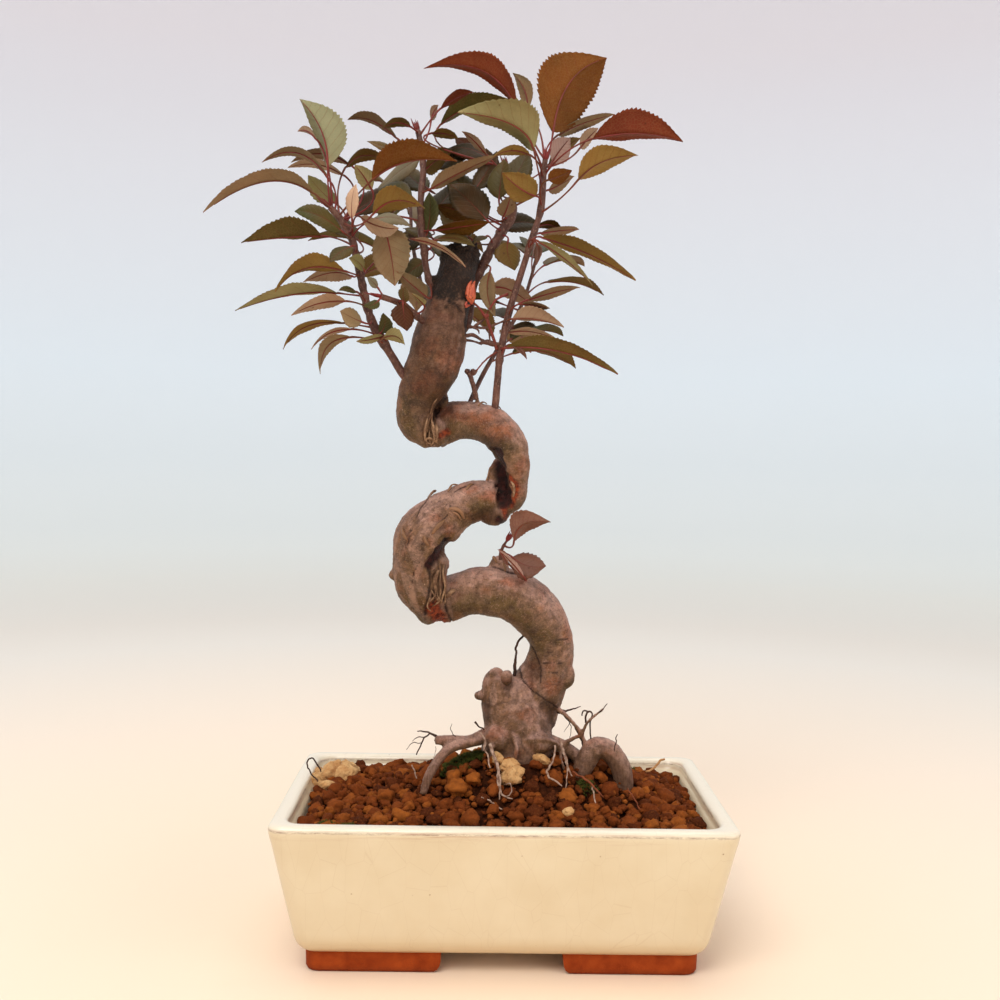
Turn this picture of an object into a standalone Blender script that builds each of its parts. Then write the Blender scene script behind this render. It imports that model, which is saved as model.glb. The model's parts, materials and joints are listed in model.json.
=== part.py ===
"""Apple bonsai: a folded, twisted trunk with leafy shoots, in a glazed pot of granular soil.

Metres, +Z up, +X to the viewer's right, the viewer stands at -Y. Everything is modelled about
the middle of the pot's footprint on the table, and the last step moves the whole so that the
origin lies under the middle of its bounding box. Positions read off the photograph are written
in millimetres as (x, z, y): x and z as they appear on the plane y = 0 seen from EYE, y the
real depth.
"""
import math
import random

import bmesh
import bpy
from mathutils import Matrix, Vector

MM = 0.001
EYE = Vector((-13.7, -589.9, 247.7))      # camera position, mm
PITCH, ROLL = 0.043, 0.019
LENS = 1160.0                             # focal length in the photograph's own dots
AHEAD = Vector((0.016, 0.99987, 0.0)).normalized() * math.cos(PITCH)
AHEAD.z = -math.sin(PITCH)
LEVEL = Vector((AHEAD.y, -AHEAD.x, 0.0)).normalized()
RIGHT = LEVEL * math.cos(ROLL) + LEVEL.cross(AHEAD) * math.sin(ROLL)
ABOVE = LEVEL.cross(AHEAD) * math.cos(ROLL) - LEVEL * math.sin(ROLL)

# pot
RIM_HALF_X, RIM_HALF_Y = 110.0, 68.0      # outside of the rim
BASE_HALF_X, BASE_HALF_Y = 97.3, 55.3     # outside of the bottom edge
RIM_Z, BASE_Z = 74.0, 9.2                 # top of the rim, underside above the feet
WALL = 9.5
FLOOR_Z = 17.0                            # inside floor
CORNER_OUT, CORNER_IN = 8.0, 9.0
FOOT_INSET, FOOT_WIDE = 4.0, 13.0
FOOT_GAP_X, FOOT_GAP_Y = 29.0, 17.0       # half gaps between the feet
DRAIN_X, DRAIN_R = 50.0, 9.0              # two drain holes
MESH_HALF, MESH_THICK = 15.0, 1.2         # plastic screens over them
MESH_CELLS = 3

# soil
SOIL_GAP = 0.3
GRAIN_PITCH = 10.8
SOIL_EDGE_Z = 69.0
MOUND_Z = 91.0
MOUND_AT = (5.0, 10.0)

LEAF_THICK = 0.75
STALK = 1.5
GAP = 0.35


def clear_scene():
    for ob in list(bpy.data.objects):
        bpy.data.objects.remove(ob, do_unlink=True)


def new_collection(name):
    col = bpy.data.collections.new(name)
    bpy.context.scene.collection.children.link(col)
    return col


def seen(x, z, y):
    """Real point (mm) at depth y that appears at (x, z) on the plane y = 0."""
    k = (y - EYE.y) / (0.0 - EYE.y)
    return EYE + (Vector((x, 0.0, z)) - EYE) * k


def scale_at(y):
    return (y - EYE.y) / -EYE.y


def mesh_object(name, verts, faces, col):
    me = bpy.data.meshes.new(name)
    me.from_pydata([Vector(v) * MM for v in verts], [], faces)
    me.update()
    ob = bpy.data.objects.new(name, me)
    col.objects.link(ob)
    bm = bmesh.new()
    bm.from_mesh(me)
    bmesh.ops.recalc_face_normals(bm, faces=bm.faces)
    bm.to_mesh(me)
    bm.free()
    return ob


def apply_all(ob):
    """Swap the object's mesh for what its modifiers make of it."""
    deps = bpy.context.evaluated_depsgraph_get()
    me = bpy.data.meshes.new_from_object(ob.evaluated_get(deps))
    ob.modifiers.clear()
    ob.data = me


def boolean(ob, other, operation, solver="EXACT"):
    mod = ob.modifiers.new("cut", "BOOLEAN")
    mod.operation = operation
    mod.solver = solver
    if isinstance(other, bpy.types.Collection):
        mod.operand_type = "COLLECTION"
        mod.collection = other
    else:
        mod.object = other
    apply_all(ob)


def drop(*objects):
    for ob in objects:
        bpy.data.objects.remove(ob, do_unlink=True)


def drop_collection(col):
    for ob in list(col.objects):
        bpy.data.objects.remove(ob, do_unlink=True)
    bpy.data.collections.remove(col)


# ---------------------------------------------------------------- plain shapes

def round_ring(hx, hy, r, z, steps=3):
    """Corners-first ring of a rounded rectangle, counter-clockwise."""
    pts = []
    for cx, cy, a0 in ((hx - r, hy - r, 0), (-hx + r, hy - r, 90),
                       (-hx + r, -hy + r, 180), (hx - r, -hy + r, 270)):
        for i in range(steps + 1):
            a = math.radians(a0 + 90.0 * i / steps)
            pts.append((cx + r * math.cos(a), cy + r * math.sin(a), z))
    return pts


def loft(rings):
    """Closed body through equal-length rings, capped at both ends."""
    n = len(rings[0])
    verts = [p for ring in rings for p in ring]
    faces = [tuple(reversed(range(n)))]
    for k in range(len(rings) - 1):
        for i in range(n):
            j = (i + 1) % n
            faces.append((k * n + i, k * n + j, (k + 1) * n + j, (k + 1) * n + i))
    faces.append(tuple(range((len(rings) - 1) * n, len(rings) * n)))
    return verts, faces


def box_shape(x0, x1, y0, y1, z0, z1):
    ring = [(x0, y0), (x1, y0), (x1, y1), (x0, y1)]
    return loft([[(x, y, z0) for x, y in ring], [(x, y, z1) for x, y in ring]])


def tube_shape(points, sides, squash=None, turn=0.0):
    """Closed tube through (Vector, radius) points, with ring frames carried along it."""
    ctr = [Vector(p) for p, r in points]
    n = len(ctr)
    tang = []
    for i in range(n):
        a = ctr[max(i - 1, 0)]
        b = ctr[min(i + 1, n - 1)]
        tang.append((b - a).normalized())
    ref = Vector((0, 1, 0)) if abs(tang[0].y) < 0.8 else Vector((1, 0, 0))
    u = (ref - tang[0] * ref.dot(tang[0])).normalized()
    rings = []
    for i in range(n):
        u = (u - tang[i] * u.dot(tang[i])).normalized()
        v = tang[i].cross(u)
        ring = []
        for k in range(sides):
            a = 2 * math.pi * k / sides + turn
            rr = points[i][1] * (squash(i, a) if squash else 1.0)
            ring.append(ctr[i] + u * (rr * math.cos(a)) + v * (rr * math.sin(a)))
        rings.append(ring)
    return loft(rings)


def smooth_path(points, per=3):
    """Catmull-Rom through (Vector, radius) points."""
    out = []
    n = len(points)
    for i in range(n - 1):
        p0 = points[max(i - 1, 0)]
        p1 = points[i]
        p2 = points[i + 1]
        p3 = points[min(i + 2, n - 1)]
        for s in range(per):
            t = s / per
            def mix(a, b, c, d):
                return (b * 2 + (c - a) * t + (a * 2 - b * 5 + c * 4 - d) * t * t
                        + (b * 3 - a - c * 3 + d) * t ** 3) * 0.5
            out.append((mix(p0[0], p1[0], p2[0], p3[0]), mix(p0[1], p1[1], p2[1], p3[1])))
    out.append(points[-1])
    return out


def path(rows):
    """(x, z, y, r) as seen -> real points and radii."""
    return [(seen(x, z, y), r * scale_at(y)) for x, z, y, r in rows]


# ---------------------------------------------------------------- pot

def make_pot(col, cutters):
    def outer(z, inset=0.0):
        t = (z - BASE_Z) / (RIM_Z - BASE_Z)
        hx = BASE_HALF_X + (RIM_HALF_X - BASE_HALF_X) * t - inset
        hy = BASE_HALF_Y + (RIM_HALF_Y - BASE_HALF_Y) * t - inset
        return round_ring(hx, hy, max(CORNER_OUT - inset * 0.6, 2.0), z)

    rings = [outer(BASE_Z, 6.5), outer(BASE_Z + 1.2, 3.4), outer(BASE_Z + 3.6, 1.2),
             outer(BASE_Z + 7.5, 0.0), outer(RIM_Z - 13.0, 0.0), outer(RIM_Z - 3.0, 0.0),
             outer(RIM_Z - 0.9, 0.9), outer(RIM_Z, 3.0)]
    pot = mesh_object("pot", *loft(rings), col)

    # four corner feet: a low ring under the body, split by gaps with rounded ends
    hx, hy = BASE_HALF_X - FOOT_INSET, BASE_HALF_Y - FOOT_INSET
    foot = mesh_object("foot", *loft([round_ring(hx - 1.2, hy - 1.2, 6, 0.0),
                                      round_ring(hx, hy, 6, 1.6),
                                      round_ring(hx, hy, 6, BASE_Z + 3.0)]), cutters)
    inner = mesh_object("foot_in", *loft([round_ring(hx - FOOT_WIDE, hy - FOOT_WIDE, 4, -2.0),
                                          round_ring(hx - FOOT_WIDE, hy - FOOT_WIDE, 4, BASE_Z)]),
                        cutters)
    boolean(foot, inner, "DIFFERENCE")
    drop(inner)
    for half, along in ((FOOT_GAP_X, 0), (FOOT_GAP_Y, 1)):
        prof = [(half + 5.0, -2.0), (half + 5.0, 0.0), (half + 2.0, 1.3), (half + 0.5, 3.8),
                (half, BASE_Z)]
        pts = [(-x, z) for x, z in prof] + [(x, z) for x, z in reversed(prof)]
        ends = []
        for s in (-150.0, 150.0):
            ends.append([(x, s, z) if along == 0 else (s, x, z) for x, z in pts])
        gap = mesh_object("gap", *loft(ends), cutters)
        boolean(foot, gap, "DIFFERENCE")
        drop(gap)
    boolean(pot, foot, "UNION")
    drop(foot)

    cav = mesh_object("cavity", *loft(cavity_rings(0.0, RIM_Z + 4.0)), cutters)
    boolean(pot, cav, "DIFFERENCE")
    drop(cav)
    for s in (-1, 1):
        ring0 = [(s * DRAIN_X + DRAIN_R * math.cos(math.radians(a)),
                  DRAIN_R * math.sin(math.radians(a)), BASE_Z - 4.0) for a in range(0, 360, 30)]
        ring1 = [(x, y, FLOOR_Z + 4.0) for x, y, z in ring0]
        hole = mesh_object("hole", *loft([ring0, ring1]), cutters)
        boolean(pot, hole, "DIFFERENCE")
        drop(hole)
    return pot


def cavity_rings(gap, top_z, floor=None):
    """Inside of the pot, drawn in by gap on every side."""
    def ring(z, extra=0.0):
        t = (min(z, RIM_Z) - BASE_Z) / (RIM_Z - BASE_Z)
        hx = BASE_HALF_X + (RIM_HALF_X - BASE_HALF_X) * t - WALL - gap - extra
        hy = BASE_HALF_Y + (RIM_HALF_Y - BASE_HALF_Y) * t - WALL - gap - extra
        return round_ring(hx, hy, CORNER_IN - gap, z)
    f = FLOOR_Z + gap if floor is None else floor
    rings = [ring(f, 4.0), ring(f + 1.6, 1.2), ring(f + 4.5, 0.0), ring(RIM_Z - 6.5, 0.0),
             ring(RIM_Z - 4.6, -1.3), ring(RIM_Z - 1.6, -1.3)]
    if top_z > RIM_Z:
        rings += [ring(RIM_Z - 0.2, -2.2), ring(top_z, -3.2)]
    return rings


def make_screen(col, side, cutters):
    """Square plastic drain screen lying on the pot's floor over one hole."""
    c = side * DRAIN_X
    z0 = FLOOR_Z + GAP
    name = "drain_mesh_left" if side < 0 else "drain_mesh_right"
    n = MESH_CELLS
    bar = 1.6
    pitch = (2 * MESH_HALF - bar) / n
    lines = []
    for i in range(n + 1):
        lines += [-MESH_HALF + i * pitch, -MESH_HALF + i * pitch + bar]
    m = len(lines)
    verts, faces = [], []
    for z in (z0, z0 + MESH_THICK):
        for yy in lines:
            for xx in lines:
                verts.append((c + xx, yy, z))
    def solid(i, j):
        return 0 <= i < m - 1 and 0 <= j < m - 1 and (i % 2 == 0 or j % 2 == 0)
    for j in range(m - 1):
        for i in range(m - 1):
            if not solid(i, j):
                continue
            a, b, d, e = j * m + i, j * m + i + 1, (j + 1) * m + i + 1, (j + 1) * m + i
            o = m * m
            faces.append((a, e, d, b))
            faces.append((a + o, b + o, d + o, e + o))
            for di, dj, p, q in ((0, -1, a, b), (1, 0, b, d), (0, 1, d, e), (-1, 0, e, a)):
                if not solid(i + di, j + dj):
                    faces.append((p, q, q + o, p + o))
    return mesh_object(name, verts, faces, col)


# ---------------------------------------------------------------- soil

def mound(x, y):
    """Height of the soil's surface without its grains."""
    d = math.hypot((x - MOUND_AT[0]) / 62.0, (y - MOUND_AT[1]) / 42.0)
    z = SOIL_EDGE_Z + (MOUND_Z - SOIL_EDGE_Z) * math.exp(-1.35 * d * d)
    z += 3.0 * math.exp(-(((x + 84.0) / 26.0) ** 2 + ((y - 30.0) / 22.0) ** 2))
    z += 6.5 * math.exp(-(((x - 52.0) / 24.0) ** 2 + ((y - 8.0) / 22.0) ** 2))
    edge = max(abs(x) / 98.0, abs(y) / 56.0)
    if edge > 0.86:
        z -= 3.0 * (edge - 0.86) / 0.14
    return z


def make_soil(col, cutters):
    """Honeycomb of jittered grains on the mound, cut to the inside of the pot."""
    rng = random.Random(7)
    hx, hy = 112.0, 70.0
    dy = GRAIN_PITCH * math.sqrt(3.0) / 2.0
    rows = int(2 * hy / dy) + 2
    cols = int(2 * hx / GRAIN_PITCH) + 2
    verts, faces, corner, centre = [], [], {}, {}

    def add(x, y, z):
        verts.append((x, y, z))
        return len(verts) - 1

    def key(x, y):
        return (round(x * 50), round(y * 50))

    for j in range(rows):
        for i in range(cols):
            cx = -hx + (i + 0.5 * (j % 2)) * GRAIN_PITCH
            cy = -hy + j * dy
            ring = []
            for k in range(6):
                a = math.radians(60 * k + 30)
                qx = cx + GRAIN_PITCH / math.sqrt(3.0) * math.cos(a)
                qy = cy + GRAIN_PITCH / math.sqrt(3.0) * math.sin(a)
                kk = key(qx, qy)
                for near in ((0, 0), (1, 0), (-1, 0), (0, 1), (0, -1)):
                    if (kk[0] + near[0], kk[1] + near[1]) in corner:
                        kk = (kk[0] + near[0], kk[1] + near[1])
                        break
                if kk not in corner:
                    jx = qx + rng.uniform(-1.3, 1.3)
                    jy = qy + rng.uniform(-1.3, 1.3)
                    corner[kk] = add(jx, jy, mound(jx, jy) - rng.uniform(1.6, 3.0))
                ring.append(corner[kk])
            gx = cx + rng.uniform(-1.4, 1.4)
            gy = cy + rng.uniform(-1.4, 1.4)
            top = add(gx, gy, mound(gx, gy) + rng.uniform(0.2, 2.4))
            for k in range(6):
                faces.append((top, ring[k], ring[(k + 1) % 6]))
    me_ob = mesh_object("soil", verts, faces, col)
    bm = bmesh.new()
    bm.from_mesh(me_ob.data)
    rim = [e for e in bm.edges if e.is_boundary]
    ret = bmesh.ops.extrude_edge_only(bm, edges=rim)
    low = [v for v in ret["geom"] if isinstance(v, bmesh.types.BMVert)]
    for v in low:
        v.co.z = 5.0 * MM
    edges = [e for e in bm.edges if e.is_boundary]
    bmesh.ops.holes_fill(bm, edges=edges, sides=0)
    bmesh.ops.recalc_face_normals(bm, faces=bm.faces)
    bm.to_mesh(me_ob.data)
    bm.free()
    box = mesh_object("bed", *loft(cavity_rings(SOIL_GAP, RIM_Z + 60.0)), cutters)
    boolean(me_ob, box, "INTERSECT")
    drop(box)
    # pockets over the drain screens, open down to the pot's floor
    for s in (-1, 1):
        h = MESH_HALF + 0.5
        pocket = mesh_object("pocket", *box_shape(s * DRAIN_X - h, s * DRAIN_X + h, -h, h,
                                                  FLOOR_Z - 3.0, FLOOR_Z + GAP + MESH_THICK + 0.35),
                             cutters)
        boolean(me_ob, pocket, "DIFFERENCE")
        drop(pocket)
    return me_ob


# ---------------------------------------------------------------- trunk

# seen x, seen z, real depth y, seen radius
LIMBS = (
    # stump in the soil, up to the block at the first fold
    ((6, 60, 12, 12), (6, 72, 12, 15), (7, 86, 11, 17.5), (7, 96, 10, 18.3), (7, 106, 10, 17.4),
     (4, 118, 9, 16.2), (2, 127, 8, 13.6), (2.5, 132, 8, 10.5)),
    # right limb, rising behind the stump and folding over to the left
    ((15, 108, 13, 11), (17, 125, 13, 14), (22, 137, 12, 11.8), (23, 150, 11, 11.3),
     (17, 163, 8, 13), (5, 173, 4, 13.2), (-8, 175.5, 2, 12.4), (-18, 175, 4, 11.5),
     (-28, 172, 6, 12), (-36, 169, 6, 11.5)),
    # left loop
    ((-36, 169, 3, 11), (-43, 178, -3, 12.6), (-45, 190, -5, 13.8), (-43, 203, -6, 13.8),
     (-34, 212, -5, 12.8), (-24, 219, -4, 10.6), (-14, 222.5, -3, 9.6), (-6, 223, -1, 8.6)),
    # rising band at the right fold, then the bend across to the left
    ((-3, 221, -2, 6.5), (2.5, 223, -5, 6.4), (4, 232, -6, 6.2), (3, 240, -6, 7.6),
     (0, 249, -5, 9.4), (-5, 256.5, -3, 10), (-14, 261.5, 0, 9.8), (-24, 262.5, 3, 9.6),
     (-32, 261, 5, 10.2), (-39, 257.5, 5, 10)),
    # upper limb
    ((-39, 257, 3, 9.5), (-45, 260, -2, 9.8), (-48, 267, -5, 9.8), (-46.3, 275, -7, 10.8),
     (-41.8, 284, -8, 12.8), (-38.3, 293, -8, 13.8), (-36.4, 303, -8, 13.1),
     (-34, 313, -7, 11.6), (-31.8, 323, -6, 10.4), (-29, 333, -5, 10), (-27, 342, -3, 9.5),
     (-26, 348, -2, 9)),
)

# small bodies: seen x, z, depth y, radii (x, y, z)
LUMPS = (
    (-6.5, 215.5, -4, 7.5, 7, 6.8), (-4, 234, 3, 6.5, 6, 11), (-12, 122, 6, 3.6, 3, 2.6),
    (-5, 133, 4, 4, 4, 3.2), (-57, 183, -4, 3.4, 3, 3.2), (7.6, 238.5, -7, 3, 3, 5),
    (-33.5, 189, -2, 3.4, 3, 5), (-38, 166.5, -1, 9, 9, 8.6), (-28, 352, -2, 2.2, 2.2, 4),
    (-21, 350, -3, 2.6, 2.6, 3), (-40, 333, -8, 3, 3, 2.6), (-4.5, 188, 3, 5, 4.5, 6),
    (1, 131, -7, 3.2, 2, 4.2), (-42, 255.5, -1, 8.5, 8, 7.6), (-36, 273, -6, 5, 5, 5),
    (31, 133, 10, 5, 6, 7), (-3, 100, -4, 7, 6, 7), (18, 98, -3, 8, 6, 5.5),
)

# surface roots: seen x, z, y, r
ROOTS = (
    ((-4, 104, 2, 4.5), (-16, 98.5, -2, 3.2), (-27, 98.5, -6, 2.6), (-35, 98.3, -9, 2.3)),
    ((-12, 99, -2, 3), (-25, 95.5, -8, 2.8), (-32, 90, -12, 2.5), (-38, 80, -16, 2.4),
     (-41, 70, -18, 2.0)),
    ((-7, 101, -7, 2.6), (-5.5, 92, -11, 1.9), (-2.5, 83, -14, 1.5), (-2, 72, -17, 1.3),
     (-3, 64, -19, 1.2)),
    ((4, 104, -6, 3.5), (6.5, 95, -10, 2.6), (6, 89, -11, 2.0), (5, 80, -8, 1.6)),
    ((12, 99, -7, 2.6), (20, 99.5, -8, 2.4), (28, 97, -6, 2.2), (30, 88, -6, 1.7),
     (34, 79, -7, 1.4)),
    ((20, 100, 0, 4), (34, 94, 2, 3.4), (42, 84, 4, 3.8), (39, 70, 5, 3)),
    ((38, 76, -2, 3.4), (41.5, 86, -3, 4), (46, 94.5, -3, 4.3), (51.6, 95.6, -3, 4.2),
     (57, 91.5, -3, 4.2), (61, 84, -3, 4), (63, 73, -2, 3.4)),
    ((30, 97, 0, 1.6), (36, 100.5, -2, 1.1), (40, 102.5, -3, 1.0), (43, 109, -4, 0.9),
     (51, 116, -4, 0.8)),
    ((27, 116, 3, 1.6), (33, 111, 0, 1.1), (40, 102.5, -3, 1.0), (43, 93, -4, 0.9)),
    ((4, 92, 24, 5), (12, 80, 32, 4), (18, 70, 38, 3)),
    ((18, 88, 14, 6), (32, 76, 20, 4.5), (42, 68, 24, 3)),
)
THIN_ROOTS = (7, 8)


def lump_shape(x, z, y, rx, ry, rz, grow=0.0):
    c = seen(x, z, y)
    k = scale_at(y)
    rings = []
    for i in range(1, 6):
        b = math.pi * i / 6 - math.pi / 2
        rings.append([(c.x + (rx * k + grow) * math.cos(b) * math.cos(a),
                       c.y + (ry * k + grow) * math.cos(b) * math.sin(a),
                       c.z + (rz * k + grow) * math.sin(b))
                      for a in [2 * math.pi * j / 10 for j in range(10)]])
    return loft(rings)


def limb_squash(seed, amount):
    rng = random.Random(seed)
    ph = [rng.uniform(0, 6.28) for _ in range(6)]

    def f(i, a):
        s = math.sin(2 * a + ph[0] + 0.5 * i) * 0.55 + math.sin(3 * a + ph[1] - 0.7 * i) * 0.45
        s += math.sin(0.9 * i + ph[2]) * 0.35
        return 1.0 + amount * s
    return f


def joined(parts, name, col):
    verts, faces = [], []
    for v, f in parts:
        o = len(verts)
        verts += [Vector(p) for p in v]
        faces += [tuple(i + o for i in face) for face in f]
    return mesh_object(name, verts, faces, col)


def trunk_parts(grow=0.0):
    parts = []
    for n, rows in enumerate(LIMBS):
        pts = [(p, r + grow) for p, r in smooth_path(path(rows), 3)]
        parts.append(tube_shape(pts, 16, limb_squash(n + 3, 0.035)))
    for row in LUMPS:
        parts.append(lump_shape(*row, grow=grow))
    for n, rows in enumerate(ROOTS):
        if n in THIN_ROOTS:
            continue
        pts = [(p, r + grow) for p, r in smooth_path(path(rows), 3)]
        parts.append(tube_shape(pts, 8))
    return parts


def thin_roots(grow=0.0):
    return [tube_shape([(p, r + grow) for p, r in path(ROOTS[n])], 5) for n in THIN_ROOTS]


def remeshed(ob, voxel, ratio):
    mod = ob.modifiers.new("skin", "REMESH")
    mod.mode = "VOXEL"
    mod.voxel_size = voxel * MM
    mod.adaptivity = 0.0
    apply_all(ob)
    mod = ob.modifiers.new("smooth", "SMOOTH")
    mod.factor = 0.5
    mod.iterations = 2
    apply_all(ob)
    mod = ob.modifiers.new("fewer", "DECIMATE")
    mod.ratio = ratio
    apply_all(ob)
    keep_largest(ob)


def swollen(ob, by, col):
    """Copy of a body pushed out along its normals."""
    new = bpy.data.objects.new("room", ob.data.copy())
    col.objects.link(new)
    push = [v.co + v.normal * (by * MM) for v in new.data.vertices]
    for v, co in zip(new.data.vertices, push):
        v.co = co
    return new


def keep_largest(ob):
    """Drop stray shells that a skin can leave."""
    bm = bmesh.new()
    bm.from_mesh(ob.data)
    left = set(bm.verts)
    groups = []
    while left:
        seed = next(iter(left))
        stack, group = [seed], set([seed])
        while stack:
            v = stack.pop()
            for e in v.link_edges:
                w = e.other_vert(v)
                if w not in group:
                    group.add(w)
                    stack.append(w)
        left -= group
        groups.append(group)
    groups.sort(key=len)
    extra = [v for g in groups[:-1] for v in g]
    bmesh.ops.delete(bm, geom=extra, context="VERTS")
    bmesh.ops.triangulate(bm, faces=bm.faces)
    bm.to_mesh(ob.data)
    bm.free()


# ---------------------------------------------------------------- shoots

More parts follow.
